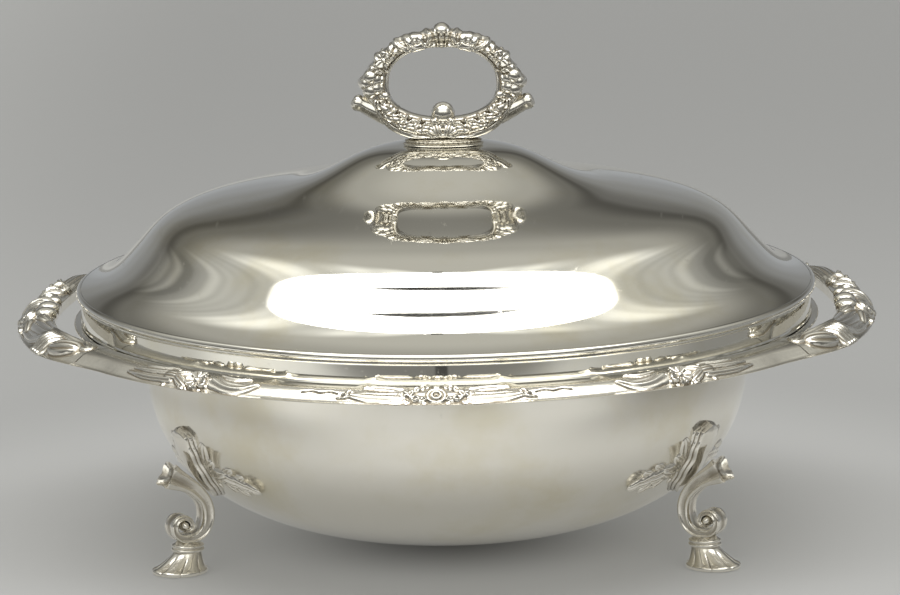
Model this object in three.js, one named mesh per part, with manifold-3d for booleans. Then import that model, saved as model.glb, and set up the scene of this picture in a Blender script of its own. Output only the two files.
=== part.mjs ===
// Covered casserole dish in silver plate: a spun bowl with a cast ornate border and two open
// loop handles, three cast scroll legs on leaf mounts, a glass liner, and a spun lid with a
// cast ring finial. Millimetres, +Z up, origin on the table under the middle of the dish.
import * as THREE from 'three';
import { mergeVertices } from 'three/addons/utils/BufferGeometryUtils.js';
import Module from 'manifold-3d';

const wasm = await Module();
wasm.setup();

// Fits between pieces
const solderGap = 0.3;
const overrun = 1;
const slopeStep = 1;
const roundSteps = 36;

// Bowl: spun brass shell with a flat brim
const bowlRadius = 108;
const bowlCurveDepth = 66.5;
const bowlStraightHeight = 10.4;
const bowlFloorHeight = 3.5;
const bowlWall = 1.2;
const bowlCurvePower = 2.5;
const bowlCurveSteps = 8;
const brimWidth = 25.4;
const brimThickness = 1.2;

// Glass liner that hangs in the bowl by its rim
const linerSideClearance = 2.3;
const linerFloorClearance = 3.8;
const linerWall = 4;
const linerRimOverhang = 5;
const linerRimHeight = 4;
const linerRimEdge = 1.2;

// Cast border on the brim, and the two handles that continue it
const borderOverlap = 1.2;
const borderWidth = 14.8;
const borderHeight = 3.2;
const borderDrop = 2.6;
const borderBulge = 1.5;
const borderRise = 1.1;
const borderSteps = 32;
const handleHalfAngle = 30;
const joinGapAngle = 0.12;
const clusterHalfAngle = 7;
const quarterClusterAngle = 35;
const handleOverhang = 8;
const handleGripInset = 7.8;
const handleGripHalfAngle = 19;
const handleShoulderAngle = 28;
const handleSwellAngle = 14;
const handleSteps = 36;
const handleKnobRise = 1.8;
const handleKnobHalfAngle = 5.5;
const handleLift = 0.5;
const handleLeafAngle = 19;
const handleGripDrop = 3.2;

// Legs: cast scrolls under leaf mounts
const legAngles = { front_left: -150, front_right: -30, rear: 90 };
const legSink = 0.5;
const footLength = 20.5;
const footWidth = 18;
const footSoleHeight = 2;
const footHeight = 5.8;
const footTopLength = 12.4;
const footTopWidth = 10.5;
const collarHeight = 2.4;
const collarLength = 14.6;
const collarWidth = 12.6;
const scrollHeight = 29;
const scrollReach = 16.5;
const scrollBackInset = 9;
const scrollThickness = 7;
const scrollWidth = 12;
const scrollSteps = 24;

// Leaf mounts: a shield up the bowl and a leaf spray to each side
const mountTopHeight = 54;
const mountTipHeight = 28.5;
const mountHalfWidth = 11.5;
const mountThickness = 4.2;
const mountEdgeThickness = 1.1;
const sprayLength = 29;
const sprayHalfWidth = 4.6;
const sprayThickness = 2.4;
const sprayRootHeight = 36;
const sprayTipHeight = 34;
const patchSteps = 7;
const patchWidthSteps = 4;

// Lid: spun shell, bead moulding and skirt band
const lidInset = 2.7;
const lidWall = 1.1;
const skirtHeight = 10.4;
const skirtEdgeHeight = 1.6;
const skirtEdgeProud = 0.3;
const reedHeight = 0.9;
const reedProud = 0.4;
const beadProud = 1;
const beadHeight = 2.8;
const lidRise = 49;
const lidTopSeatRadius = 15.5;

// Ring finial and what holds it
const finialBaseLength = 28.8;
const finialBaseWidth = 15;
const finialBaseHeight = 2.2;
const ringHalfWidth = 30.2;
const ringHeight = 42.4;
const ringSink = 2.1;
const ringOpeningHalfWidth = 19.8;
const ringOpeningHalfHeight = 12.6;
const ringThickness = 9;
const ringSteps = 44;
const palmetteRise = 1.9;
const palmetteHalfAngle = 9;
const hornReach = 2.9;
const hornAngle = 104;
const hornHalfAngle = 7;
const orbRadius = 3.7;
const orbLift = 2.4;
const orbSteps = 12;
const orbRings = 8;
const rosetteRadius = 4.2;
const rosetteProud = 0.9;
const studRadius = 2.4;
const studFit = 0.3;
const studSocketDepth = 4.5;
const studTail = 1.5;
const washerRadius = 9;
const washerThickness = 1.2;
const nutRadius = 5.2;
const nutHeight = 4;
const nutSides = 6;
const studSides = 16;

// Radii worked out from the bowl's radius outwards
const linerRimRadius = bowlRadius + linerRimOverhang;
const brimRadius = bowlRadius + brimWidth;
const lidRadius = brimRadius - lidInset;
const borderInnerRadius = brimRadius - borderOverlap;
const borderOuterRadius = borderInnerRadius + borderWidth;
const handleGripInnerRadius = borderInnerRadius + handleGripInset;
const handleReach = borderOuterRadius + handleOverhang;

// Heights worked out from the sizes above
const bowlShoulderHeight = bowlFloorHeight + bowlCurveDepth;
const brimUnderHeight = bowlShoulderHeight + bowlStraightHeight;
const brimTopHeight = brimUnderHeight + brimThickness;
const seatHeight = brimTopHeight + solderGap;
const lidFlangeHeight = seatHeight + skirtHeight + solderGap;
const lidTopHeight = lidFlangeHeight + lidWall + lidRise;
const finialBaseBottom = lidTopHeight + solderGap;
const ringBottom = finialBaseBottom + finialBaseHeight + solderGap;
const ringCentre = ringBottom - ringSink + ringHeight / 2;

const silver = { color: 0xc9c6ba, roughness: 0.08, metalness: 1 };
const castSilver = { color: 0xbdb8a8, roughness: 0.28, metalness: 1 };
const brass = { color: 0xb3945a, roughness: 0.35, metalness: 1 };
const glass = { color: 0xdfe8e4, roughness: 0.05, metalness: 0, transparent: true, opacity: 0.35 };

const radians = THREE.MathUtils.degToRad;
const bump = (value, halfWidth) => Math.exp(-((value / halfWidth) ** 2));
const blend = (from, to, share) => from + (to - from) * share;
const smooth = THREE.MathUtils.smoothstep;

// A closed body from any closed geometry: shared vertices merged, faces turned outwards
function closedBody(geometry) {
  const bare = geometry.index ? geometry.toNonIndexed() : geometry.clone();
  bare.deleteAttribute('normal');
  bare.deleteAttribute('uv');
  const merged = mergeVertices(bare);
  const corners = merged.index.array;
  const spots = merged.attributes.position;
  const [a, b, c] = [new THREE.Vector3(), new THREE.Vector3(), new THREE.Vector3()];
  const kept = [];
  let volume = 0;
  for (let i = 0; i < corners.length; i += 3) {
    const [p, q, r] = corners.slice(i, i + 3);
    if (p === q || q === r || r === p) continue;
    a.fromBufferAttribute(spots, p);
    b.fromBufferAttribute(spots, q);
    c.fromBufferAttribute(spots, r);
    volume += a.dot(b.cross(c));
    kept.push(p, q, r);
  }
  if (volume < 0) kept.reverse();
  merged.setIndex(kept);
  return merged;
}

function toSolid(geometry) {
  const body = closedBody(geometry);
  return new wasm.Manifold(new wasm.Mesh({
    numProp: 3,
    vertProperties: Float32Array.from(body.attributes.position.array),
    triVerts: Uint32Array.from(body.index.array),
  }));
}

function toGeometry(solid) {
  const mesh = solid.getMesh();
  const geometry = new THREE.BufferGeometry();
  geometry.setAttribute('position', new THREE.Float32BufferAttribute(mesh.vertProperties, 3));
  geometry.setIndex(Array.from(mesh.triVerts));
  return geometry;
}

// A profile of [radius, height] points, closed on itself or by the axis, turned about +Z
function revolve(profile, steps = roundSteps) {
  const points = profile.map(([radius, height]) => new THREE.Vector2(radius, height));
  const onAxis = profile[0][0] === 0 && profile.at(-1)[0] === 0;
  if (!onAxis) points.push(points[0].clone());
  return new THREE.LatheGeometry(points, steps).rotateX(Math.PI / 2);
}

// A skin over a row of rings with equally many points; open rows get a cap at each end
function loft(rings, loop = false) {
  const count = rings[0].length;
  const positions = rings.flat().flatMap((point) => point.toArray());
  const index = [];
  const spans = loop ? rings.length : rings.length - 1;
  for (let i = 0; i < spans; i += 1) {
    const next = (i + 1) % rings.length;
    for (let j = 0; j < count; j += 1) {
      const k = (j + 1) % count;
      const [a, b, c, d] = [i * count + j, i * count + k, next * count + k, next * count + j];
      index.push(a, b, c, a, c, d);
    }
  }
  if (!loop) {
    index.push(...cap(rings[0], 0, true), ...cap(rings.at(-1), (rings.length - 1) * count, false));
  }
  const geometry = new THREE.BufferGeometry();
  geometry.setAttribute('position', new THREE.Float32BufferAttribute(positions, 3));
  geometry.setIndex(index);
  return closedBody(geometry);
}

// Triangles over one flat ring, wound with its points or against them
function cap(ring, start, against) {
  const normal = new THREE.Vector3();
  ring.forEach((point, i) => normal.add(point.clone().cross(ring[(i + 1) % ring.length])));
  const across = ring[1].clone().sub(ring[0]).normalize();
  const along = normal.normalize().clone().cross(across);
  const flat = ring.map((point) => new THREE.Vector2(point.dot(across), point.dot(along)));
  return THREE.ShapeUtils.triangulateShape(flat, []).flatMap(([a, b, c]) => {
    const turn = flat[b].clone().sub(flat[a]).cross(flat[c].clone().sub(flat[a]));
    const kept = (turn > 0) !== against;
    return kept ? [start + a, start + b, start + c] : [start + a, start + c, start + b];
  });
}

const parts = new THREE.Group();
function addPart(name, geometry, finish) {
  const mesh = new THREE.Mesh(geometry, new THREE.MeshStandardMaterial(finish));
  mesh.name = name;
  parts.add(mesh);
}

// Bowl: the curve is a superellipse, |r/a|^n + |z/h|^n = 1, with its wall straight above it
function bowlCurve(radius, depth) {
  const points = [];
  for (let i = 0; i <= bowlCurveSteps; i += 1) {
    const turn = (Math.PI / 2) * (1 - i / bowlCurveSteps);
    const share = 2 / bowlCurvePower;
    const out = i === 0 ? 0 : Math.cos(turn) ** share;
    const down = i === bowlCurveSteps ? 0 : Math.sin(turn) ** share;
    points.push([radius * out, bowlShoulderHeight - depth * down]);
  }
  return points;
}

function bowlRadiusAt(height) {
  const down = Math.max(0, (bowlShoulderHeight - height) / bowlCurveDepth);
  return bowlRadius * Math.max(0, 1 - down ** bowlCurvePower) ** (1 / bowlCurvePower);
}

const legBackRadius = bowlRadiusAt(sprayTipHeight) - legSink;
const footRadius = legBackRadius + scrollBackInset;

function bowl() {
  const outside = bowlCurve(bowlRadius, bowlCurveDepth);
  const inside = bowlCurve(bowlRadius - bowlWall, bowlCurveDepth - bowlWall).reverse();
  return revolve([
    ...outside,
    [bowlRadius, brimTopHeight],
    [bowlRadius - bowlWall, brimTopHeight],
    ...inside,
  ]);
}

// Brim: the flat flange round the bowl's mouth, a body of its own so that both stay simple
function brim() {
  const inner = bowlRadius + solderGap;
  return revolve([
    [inner, brimUnderHeight],
    [brimRadius, brimUnderHeight],
    [brimRadius, brimTopHeight],
    [inner, brimTopHeight],
  ]);
}

// Liner: the bowl's curve again with its own clearances, and a flat rim on the brim
function liner() {
  const radius = bowlRadius - bowlWall - linerSideClearance;
  const depth = bowlCurveDepth - bowlWall - linerFloorClearance;
  const outside = bowlCurve(radius, depth);
  const inside = bowlCurve(radius - linerWall, depth - linerWall).reverse();
  const rimTop = seatHeight + linerRimHeight;
  return revolve([
    ...outside,
    [radius, seatHeight],
    [linerRimRadius, seatHeight],
    [linerRimRadius, rimTop - linerRimEdge],
    [linerRimRadius - linerRimEdge, rimTop],
    [radius - linerWall + linerRimEdge, rimTop],
    [radius - linerWall, rimTop - linerRimEdge],
    ...inside,
  ]);
}

// Border section from its inner edge to its outer lip, as shares of width and of height.
// It lies on the brim and hooks down past the brim's edge.
const sectionWidthShares = [0, 0.06, 0.3, 0.6, 0.86, 1, 0.97];
const sectionHeightShares = [0.35, 0.72, 1, 0.86, 0.3, -0.45, -1];

function borderSection(angle, innerRadius, outerRadius, rise, footRadiusHere, drop, lift) {
  const spoke = new THREE.Vector3(Math.cos(angle), Math.sin(angle), 0);
  const width = outerRadius - innerRadius;
  const base = seatHeight + lift;
  const at = (radius, height) => spoke.clone().multiplyScalar(radius).setZ(height);
  const top = sectionWidthShares.map((share, i) => {
    const height = sectionHeightShares[i];
    return at(innerRadius + width * share, base + height * (height < 0 ? drop : rise));
  });
  return [...top, at(footRadiusHere, base - drop), at(footRadiusHere, base), at(innerRadius, base)];
}

function borderArc(middleAngle) {
  const halfAngle = 90 - handleHalfAngle - joinGapAngle;
  const rings = [];
  for (let i = 0; i <= borderSteps; i += 1) {
    const offset = blend(-halfAngle, halfAngle, i / borderSteps);
    const ornament = bump(offset, clusterHalfAngle)
      + bump(Math.abs(offset) - quarterClusterAngle, clusterHalfAngle);
    rings.push(borderSection(
      radians(middleAngle + offset),
      borderInnerRadius,
      borderOuterRadius + borderBulge * ornament,
      borderHeight + borderRise * ornament,
      brimRadius + solderGap,
      borderDrop,
      0,
    ));
  }
  return loft(rings);
}

// Handle: the border's section leaves the brim at each shoulder and arches out as an open grip
function handle(middleAngle) {
  const rings = [];
  for (let i = 0; i <= handleSteps; i += 1) {
    const offset = blend(-handleHalfAngle, handleHalfAngle, i / handleSteps);
    const grip = 1 - smooth(Math.abs(offset), handleGripHalfAngle, handleShoulderAngle);
    const swell = 1 - smooth(Math.abs(offset), handleSwellAngle, handleHalfAngle);
    const knob = bump(offset, handleKnobHalfAngle);
    const leaf = bump(Math.abs(offset) - handleLeafAngle, handleKnobHalfAngle);
    const innerRadius = blend(borderInnerRadius, handleGripInnerRadius, grip);
    const footRadiusHere = blend(brimRadius + solderGap, handleGripInnerRadius + solderGap, grip);
    rings.push(borderSection(
      radians(middleAngle + offset),
      innerRadius,
      blend(borderOuterRadius, handleReach, swell),
      borderHeight + borderRise * leaf + handleKnobRise * knob,
      footRadiusHere,
      blend(borderDrop, handleGripDrop, grip),
      handleLift * grip,
    ));
  }
  return loft(rings);
}

// A thick patch that lies on the bowl: place(u, v) gives [angle, height] of its skin, and
// thickness(u, v) how far it stands out; the underside keeps the solder gap to the bowl
function bowlPatch(place, thickness, grow) {
  const point = (u, v, lift) => {
    const [angle, height] = place(u, v);
    const slope = bowlRadiusAt(height + slopeStep) - bowlRadiusAt(height - slopeStep);
    const tilt = Math.atan2(slope, slopeStep * 2);
    const radius = bowlRadiusAt(height) + lift * Math.cos(tilt);
    return new THREE.Vector3(radius * Math.cos(angle), radius * Math.sin(angle),
      height - lift * Math.sin(tilt));
  };
  const rings = [];
  for (let i = 0; i <= patchSteps; i += 1) {
    const u = i / patchSteps;
    const ring = [];
    for (let j = 0; j <= patchWidthSteps; j += 1) {
      const v = blend(-1, 1, j / patchWidthSteps);
      ring.push(point(u, v, solderGap + thickness(u, v) + grow));
    }
    for (let j = patchWidthSteps; j >= 0; j -= 1) {
      ring.push(point(u, blend(-1, 1, j / patchWidthSteps), solderGap - grow));
    }
    rings.push(ring);
  }
  return loft(rings);
}

// Half widths of the shield and of a leaf spray, as shares, from root to tip
const shieldWidthShares = [0.62, 0.8, 0.7, 0.86, 1, 0.97, 0.85, 0.68, 0.5, 0.3];
const sprayWidthShares = [0.5, 0.78, 0.95, 0.84, 0.98, 0.86, 0.72, 0.62, 0.42, 0.2];

const sprayRootShare = 0.2;

function shareAt(shares, u) {
  const spot = u * (shares.length - 1);
  const low = Math.min(Math.floor(spot), shares.length - 2);
  return blend(shares[low], shares[low + 1], spot - low);
}

function leafMount(angleDegrees, grow = 0) {
  const middle = radians(angleDegrees);
  const crown = (v, edge, full) => blend(edge, full, 1 - v * v);
  const shield = bowlPatch((u, v) => {
    const height = blend(mountTopHeight + grow, mountTipHeight - grow, u);
    const across = (mountHalfWidth * shareAt(shieldWidthShares, u) + grow) * v;
    return [middle + across / bowlRadiusAt(height), height];
  }, (u, v) => crown(v, mountEdgeThickness, mountThickness), grow);
  let mount = toSolid(shield);
  for (const side of [-1, 1]) {
    const spray = bowlPatch((u, v) => {
      const along = blend(sprayLength * sprayRootShare, sprayLength + grow, u) * side;
      const across = (sprayHalfWidth * shareAt(sprayWidthShares, u) + grow) * v;
      const height = blend(sprayRootHeight, sprayTipHeight, u) + across;
      return [middle + along / bowlRadiusAt(height), height];
    }, (u, v) => crown(v, mountEdgeThickness, sprayThickness), grow);
    mount = mount.add(toSolid(spray));
  }
  return mount;
}

// Scroll centre line, from the horn down the back of the C and round the volute, as shares
// of the scroll's reach (from its back) and height (from the collar), with its half widths
const scrollReachShares = [1, 0.66, 0.33, 0.09, 0.02, 0.17, 0.47, 0.76, 0.74, 0.52];
const scrollHeightShares = [0.855, 0.907, 0.8, 0.58, 0.32, 0.128, 0.065, 0.155, 0.3, 0.3];
const scrollThicknessShares = [1.1, 0.95, 1, 1, 0.95, 0.85, 0.72, 0.62, 0.5, 0.36];
const scrollWidthShares = [1.15, 0.9, 0.92, 0.95, 0.9, 0.86, 0.84, 0.8, 0.74, 0.66];
const scrollSectionWidthShares = [1, 0.8, 0.3, -0.3, -0.8, -1, -0.8, -0.3, 0.3, 0.8];
const scrollSectionDepthShares = [0, 0.95, 0.68, 0.68, 0.95, 0, -0.95, -0.68, -0.68, -0.95];

function scrollBody() {
  const line = new THREE.SplineCurve(scrollReachShares.map((share, i) => new THREE.Vector2(
    legBackRadius + scrollReach * share,
    footHeight + collarHeight + scrollHeight * scrollHeightShares[i],
  )));
  const rings = [];
  for (let i = 0; i <= scrollSteps; i += 1) {
    const u = i / scrollSteps;
    const centre = line.getPoint(u);
    const ahead = line.getTangent(u);
    const depth = scrollThickness / 2 * shareAt(scrollThicknessShares, u);
    const width = scrollWidth / 2 * shareAt(scrollWidthShares, u);
    rings.push(scrollSectionWidthShares.map((share, j) => {
      const out = depth * scrollSectionDepthShares[j];
      return new THREE.Vector3(centre.x - ahead.y * out, width * share, centre.y + ahead.x * out);
    }));
  }
  return loft(rings);
}

// Foot: a shell-like toe that flares outwards, a waist, and a round collar under the scroll
const fluteShare = 0.05;
const toeShare = 0.6;

function footBody() {
  const outline = (length, width, height, shift) => {
    const points = [];
    for (let i = 0; i < studSides; i += 1) {
      const turn = (i / studSides) * Math.PI * 2;
      const flute = 1 + (i % 2 ? -fluteShare : 0);
      points.push(new THREE.Vector3(
        footRadius + shift + length / 2 * flute * Math.cos(turn),
        width / 2 * flute * Math.sin(turn),
        height,
      ));
    }
    return points;
  };
  const toeShift = (footLength - footTopLength) / 2 * toeShare;
  const top = footHeight + collarHeight;
  return loft([
    outline(footLength, footWidth, 0, toeShift),
    outline(footLength, footWidth, footSoleHeight, toeShift),
    outline(footTopLength, footTopWidth, footHeight, 0),
    outline(collarLength, collarWidth, footHeight, 0),
    outline(collarLength, collarWidth, top, 0),
    outline(footTopLength, footTopWidth, top + collarHeight, 0),
  ]);
}

function leg(angleDegrees) {
  const turned = (geometry) => toSolid(geometry.rotateZ(radians(angleDegrees)));
  const bowlRoom = toSolid(revolve([
    ...bowlCurve(bowlRadius + solderGap, bowlCurveDepth + solderGap),
    [bowlRadius + solderGap, brimUnderHeight],
    [0, brimUnderHeight],
  ]));
  return turned(scrollBody())
    .add(turned(footBody()))
    .subtract(leafMount(angleDegrees, solderGap))
    .subtract(bowlRoom);
}

// Lid: the outline runs in from the flange up the flank, over the shoulder and up the bell to
// the flat top, as shares of the way to the top's seat and of the rise above the flange.
const lidReachShares = [
  0, 0.058, 0.097, 0.145, 0.197, 0.24, 0.284, 0.353, 0.457,
  0.562, 0.648, 0.718, 0.787, 0.848, 0.9, 0.952, 1,
];
const lidRiseShares = [
  0, 0.052, 0.111, 0.22, 0.355, 0.453, 0.518, 0.579, 0.634,
  0.678, 0.717, 0.767, 0.842, 0.914, 0.962, 0.989, 1,
];

function lidOutline() {
  const width = lidRadius - lidTopSeatRadius;
  return lidReachShares.map((share, i) => new THREE.Vector2(
    lidRadius - width * share,
    lidFlangeHeight + lidWall + lidRise * lidRiseShares[i],
  ));
}

// The same outline moved in by the wall, at right angles to itself
function insideOutline(outline, wall) {
  return outline.map((point, i) => {
    const ahead = (outline[i + 1] ?? point).clone().sub(outline[i - 1] ?? point).normalize();
    return new THREE.Vector2(point.x + ahead.y * -wall, point.y + ahead.x * wall);
  });
}

function lidDome() {
  const outside = lidOutline();
  const inside = insideOutline(outside, lidWall);
  const holeRadius = studRadius + studFit;
  inside[0].set(lidRadius, lidFlangeHeight);
  inside.at(-1).set(lidTopSeatRadius, lidTopHeight - lidWall);
  return revolve([
    ...outside.map((point) => point.toArray()),
    [holeRadius, lidTopHeight],
    [holeRadius, lidTopHeight - lidWall],
    ...inside.reverse().map((point) => point.toArray()),
  ]);
}

// Bead: a half-round moulding over the joint of dome and skirt
const beadReachShares = [0, 0.33, 0.8, 1, 0.8, 0.33, 0];
const beadHeightShares = [0, 0, 0.25, 0.5, 0.75, 1, 1];

function lidBead() {
  const inner = lidRadius + solderGap + reedProud;
  const bottom = lidFlangeHeight + lidWall - beadHeight;
  return revolve(beadReachShares.map((share, i) => [
    inner + beadProud * share,
    bottom + beadHeight * beadHeightShares[i],
  ]));
}

// Skirt: a plain band with a proud bottom edge and two reeds under the bead
function lidSkirt() {
  const top = seatHeight + skirtHeight;
  const beadBottom = lidFlangeHeight + lidWall - beadHeight;
  const reedTop = beadBottom - solderGap;
  return revolve([
    [lidRadius - lidWall, seatHeight],
    [lidRadius + skirtEdgeProud, seatHeight],
    [lidRadius + skirtEdgeProud, seatHeight + skirtEdgeHeight / 2],
    [lidRadius, seatHeight + skirtEdgeHeight],
    [lidRadius, reedTop - 2 * reedHeight],
    [lidRadius + reedProud, reedTop - 1.5 * reedHeight],
    [lidRadius, reedTop - reedHeight],
    [lidRadius + reedProud, reedTop - reedHeight / 2],
    [lidRadius, reedTop],
    [lidRadius, top],
    [lidRadius - lidWall, top],
  ]);
}

// Finial base: an oval stack of mouldings, as shares of its size and height
const baseSizeShares = [0.94, 1, 0.97, 0.84, 0.9, 0.82];
const baseHeightShares = [0, 0.28, 0.52, 0.62, 0.82, 1];
const ovalSteps = 28;

function oval(length, width, height) {
  return Array.from({ length: ovalSteps }, (_, i) => {
    const turn = (i / ovalSteps) * Math.PI * 2;
    return new THREE.Vector3(length / 2 * Math.cos(turn), width / 2 * Math.sin(turn), height);
  });
}

function rod(radius, bottom, top, sides = studSides) {
  return new THREE.CylinderGeometry(radius, radius, top - bottom, sides)
    .rotateX(Math.PI / 2)
    .translate(0, 0, (top + bottom) / 2);
}

function finialBase() {
  const stack = loft(baseSizeShares.map((share, i) => oval(
    finialBaseLength * share,
    finialBaseWidth * share,
    finialBaseBottom + finialBaseHeight * baseHeightShares[i],
  )));
  const bore = rod(studRadius + studFit, finialBaseBottom - overrun, ringBottom + overrun);
  return toSolid(stack).subtract(toSolid(bore));
}

// Ring section from the opening outwards, as shares of the ring's width and half thickness.
// The ring's oval is cut flat where it stands on its base.
const ringWidthShares = [0, 0.1, 0.22, 0.42, 0.7, 0.92, 1];
const ringDepthShares = [0.3, 0.66, 0.52, 0.92, 1, 0.7, 0.28];

function finialRing() {
  const rings = [];
  const ringHalfHeight = ringHeight / 2;
  for (let i = 0; i < ringSteps; i += 1) {
    const turn = (i / ringSteps) * Math.PI * 2;
    const fromTop = THREE.MathUtils.radToDeg(Math.acos(Math.sin(turn)));
    const outward = hornReach * bump(fromTop - hornAngle, hornHalfAngle);
    const upward = palmetteRise * bump(fromTop, palmetteHalfAngle);
    const hollow = new THREE.Vector2(
      ringOpeningHalfWidth * Math.cos(turn),
      ringOpeningHalfHeight * Math.sin(turn),
    );
    const rim = new THREE.Vector2(
      (ringHalfWidth + outward) * Math.cos(turn),
      ringHalfHeight * Math.sin(turn) + upward,
    );
    const side = (sign) => ringWidthShares.map((share, j) => {
      const spot = hollow.clone().lerp(rim, share);
      const depth = sign * ringThickness / 2 * ringDepthShares[j];
      return new THREE.Vector3(spot.x, depth, Math.max(ringBottom, ringCentre + spot.y));
    });
    rings.push([...side(1), ...side(-1).reverse()]);
  }
  const orb = new THREE.SphereGeometry(orbRadius, orbSteps, orbRings)
    .translate(0, 0, ringCentre - ringOpeningHalfHeight + orbLift);
  const socket = rod(studRadius + studFit, ringBottom - overrun, ringBottom + studSocketDepth);
  return rosettes(toSolid(loft(rings, true)).add(toSolid(orb))).subtract(toSolid(socket));
}

// Five-petal rosettes cast on both faces of the ring, placed by angle round the ring
const rosetteAngles = [2, 33, 147, 178];
const rosetteSizeShares = [1.15, 0.85, 0.85, 1.15];
const rosettePlaceShare = 0.62;
const petals = 5;
const petalShare = 0.16;
const petalSteps = 3;
const rosetteCrownShare = 0.55;

function rosettes(ring) {
  let carved = ring;
  rosetteAngles.forEach((degrees, k) => {
    const turn = radians(degrees);
    const x = blend(ringOpeningHalfWidth, ringHalfWidth, rosettePlaceShare) * Math.cos(turn);
    const z = blend(ringOpeningHalfHeight, ringHeight / 2, rosettePlaceShare) * Math.sin(turn);
    const size = rosetteRadius * rosetteSizeShares[k];
    const disc = (scale, y) => Array.from({ length: petals * petalSteps }, (_, i) => {
      const spin = (i / (petals * petalSteps)) * Math.PI * 2;
      const lobe = size * scale * (1 + petalShare * Math.cos(petals * spin));
      return new THREE.Vector3(x + lobe * Math.cos(spin), y, ringCentre + z + lobe * Math.sin(spin));
    });
    const half = ringThickness / 2 + rosetteProud;
    carved = carved.add(toSolid(loft([
      disc(rosetteCrownShare, -half),
      disc(1, -half + rosetteProud),
      disc(1, half - rosetteProud),
      disc(rosetteCrownShare, half),
    ])));
  });
  return carved;
}

// Stud, washer and nut inside the lid
const washerTop = lidTopHeight - lidWall - solderGap;
const nutTop = washerTop - washerThickness - solderGap;
const studBottom = nutTop - nutHeight - studTail;

function pierced(outer) {
  const bore = rod(studRadius + studFit, studBottom, lidTopHeight);
  return toGeometry(toSolid(outer).subtract(toSolid(bore)));
}

addPart('bowl', closedBody(bowl()), silver);
addPart('bowl_brim', closedBody(brim()), silver);
addPart('border_front', borderArc(-90), castSilver);
addPart('border_rear', borderArc(90), castSilver);
addPart('handle_left', handle(180), castSilver);
addPart('handle_right', handle(0), castSilver);
for (const [place, angle] of Object.entries(legAngles)) {
  addPart(`leaf_mount_${place}`, toGeometry(leafMount(angle)), castSilver);
  addPart(`scroll_leg_${place}`, toGeometry(leg(angle)), castSilver);
}
addPart('glass_liner', closedBody(liner()), glass);
addPart('lid_dome', closedBody(lidDome()), silver);
addPart('lid_bead', closedBody(lidBead()), silver);
addPart('lid_skirt', closedBody(lidSkirt()), silver);
addPart('finial_base', toGeometry(finialBase()), castSilver);
addPart('finial_ring', toGeometry(finialRing()), castSilver);
addPart('finial_stud', rod(studRadius, studBottom, ringBottom + studSocketDepth - solderGap), brass);
addPart('finial_washer', pierced(rod(washerRadius, washerTop - washerThickness, washerTop, roundSteps)),
  brass);
addPart('finial_nut', pierced(rod(nutRadius, nutTop - nutHeight, nutTop, nutSides)), brass);

export default parts;
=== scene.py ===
"""Covered casserole dish in silver plate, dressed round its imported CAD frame.

Metres, +Z up, the origin on the table under the middle of the bowl, the right handle towards +X.
The sections follow the dish as it is put together.
"""
import math
import bpy
import numpy as np
from mathutils import Matrix, Vector


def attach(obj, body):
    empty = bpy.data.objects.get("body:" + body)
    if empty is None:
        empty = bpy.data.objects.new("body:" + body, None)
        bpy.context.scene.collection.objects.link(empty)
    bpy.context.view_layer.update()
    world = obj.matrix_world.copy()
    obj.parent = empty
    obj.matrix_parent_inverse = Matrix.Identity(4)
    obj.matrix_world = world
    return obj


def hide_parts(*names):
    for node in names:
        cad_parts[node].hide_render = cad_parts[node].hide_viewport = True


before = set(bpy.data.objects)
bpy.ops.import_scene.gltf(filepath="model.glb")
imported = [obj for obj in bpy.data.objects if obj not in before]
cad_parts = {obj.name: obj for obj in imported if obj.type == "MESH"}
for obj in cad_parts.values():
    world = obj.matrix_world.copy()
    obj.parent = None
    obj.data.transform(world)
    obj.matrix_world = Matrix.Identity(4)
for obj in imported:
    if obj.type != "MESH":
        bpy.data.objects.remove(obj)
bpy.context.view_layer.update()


# Camera
# The photograph looks down 11.3 degrees from about 2.2 m with a long lens, a little from the
# right, and its right side sits a degree high.
camera_target = Vector((0.00143, 0.0, 0.087))
camera_distance = 2.2
camera_elevation = math.radians(11.3)
camera_azimuth = math.radians(1.5)
camera_roll = math.radians(-0.95)
back = Vector((
    math.sin(camera_azimuth) * math.cos(camera_elevation),
    -math.cos(camera_azimuth) * math.cos(camera_elevation),
    math.sin(camera_elevation),
))
camera_data = bpy.data.cameras.new("camera")
camera_data.sensor_width = 36.0
camera_data.lens = 245.2
camera_data.clip_end = 100.0
camera = bpy.data.objects.new("camera", camera_data)
bpy.context.scene.collection.objects.link(camera)
camera.matrix_world = (
    Matrix.Translation(camera_target + back * camera_distance)
    @ back.to_track_quat("Z", "Y").to_matrix().to_4x4() @ Matrix.Rotation(camera_roll, 4, "Z")
)
bpy.context.scene.camera = camera
bpy.context.scene.view_settings.view_transform = "Standard"


# Studio
# A pale grey table top without an end, under one large overhead diffuser that a thin bar and a
# small tab darken. The room is grey behind the dish and darker towards its sides and front.
def joined(tree, kind, *values, **settings):
    """A node with its inputs set or linked in order; gives its first output."""
    made = tree.nodes.new(kind)
    for key, value in settings.items():
        setattr(made, key, value)
    for spot, value in enumerate(values):
        if isinstance(value, bpy.types.NodeSocket):
            tree.links.new(value, made.inputs[spot])
        elif value is not None:
            made.inputs[spot].default_value = value
    return made.outputs[0]


def full_turn(steps):
    """The angles of a full turn in even steps, its end left out."""
    return np.linspace(0, 2 * np.pi, steps, endpoint=False)


def around(reach, turn, level):
    """Points at a reach and a turn round +Z and at a level, all spread to one grid."""
    return np.stack(np.broadcast_arrays(reach * np.cos(turn), reach * np.sin(turn), level), axis=-1)


def worked(tree, operation, *values, clamp=False):
    """One Math node: the operation on up to three numbers or sockets."""
    return joined(tree, "ShaderNodeMath", *values, operation=operation, use_clamp=clamp)


def times(tree, value, *others):
    """The product of numbers and sockets."""
    for other in others:
        value = worked(tree, "MULTIPLY", value, other)
    return value


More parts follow.
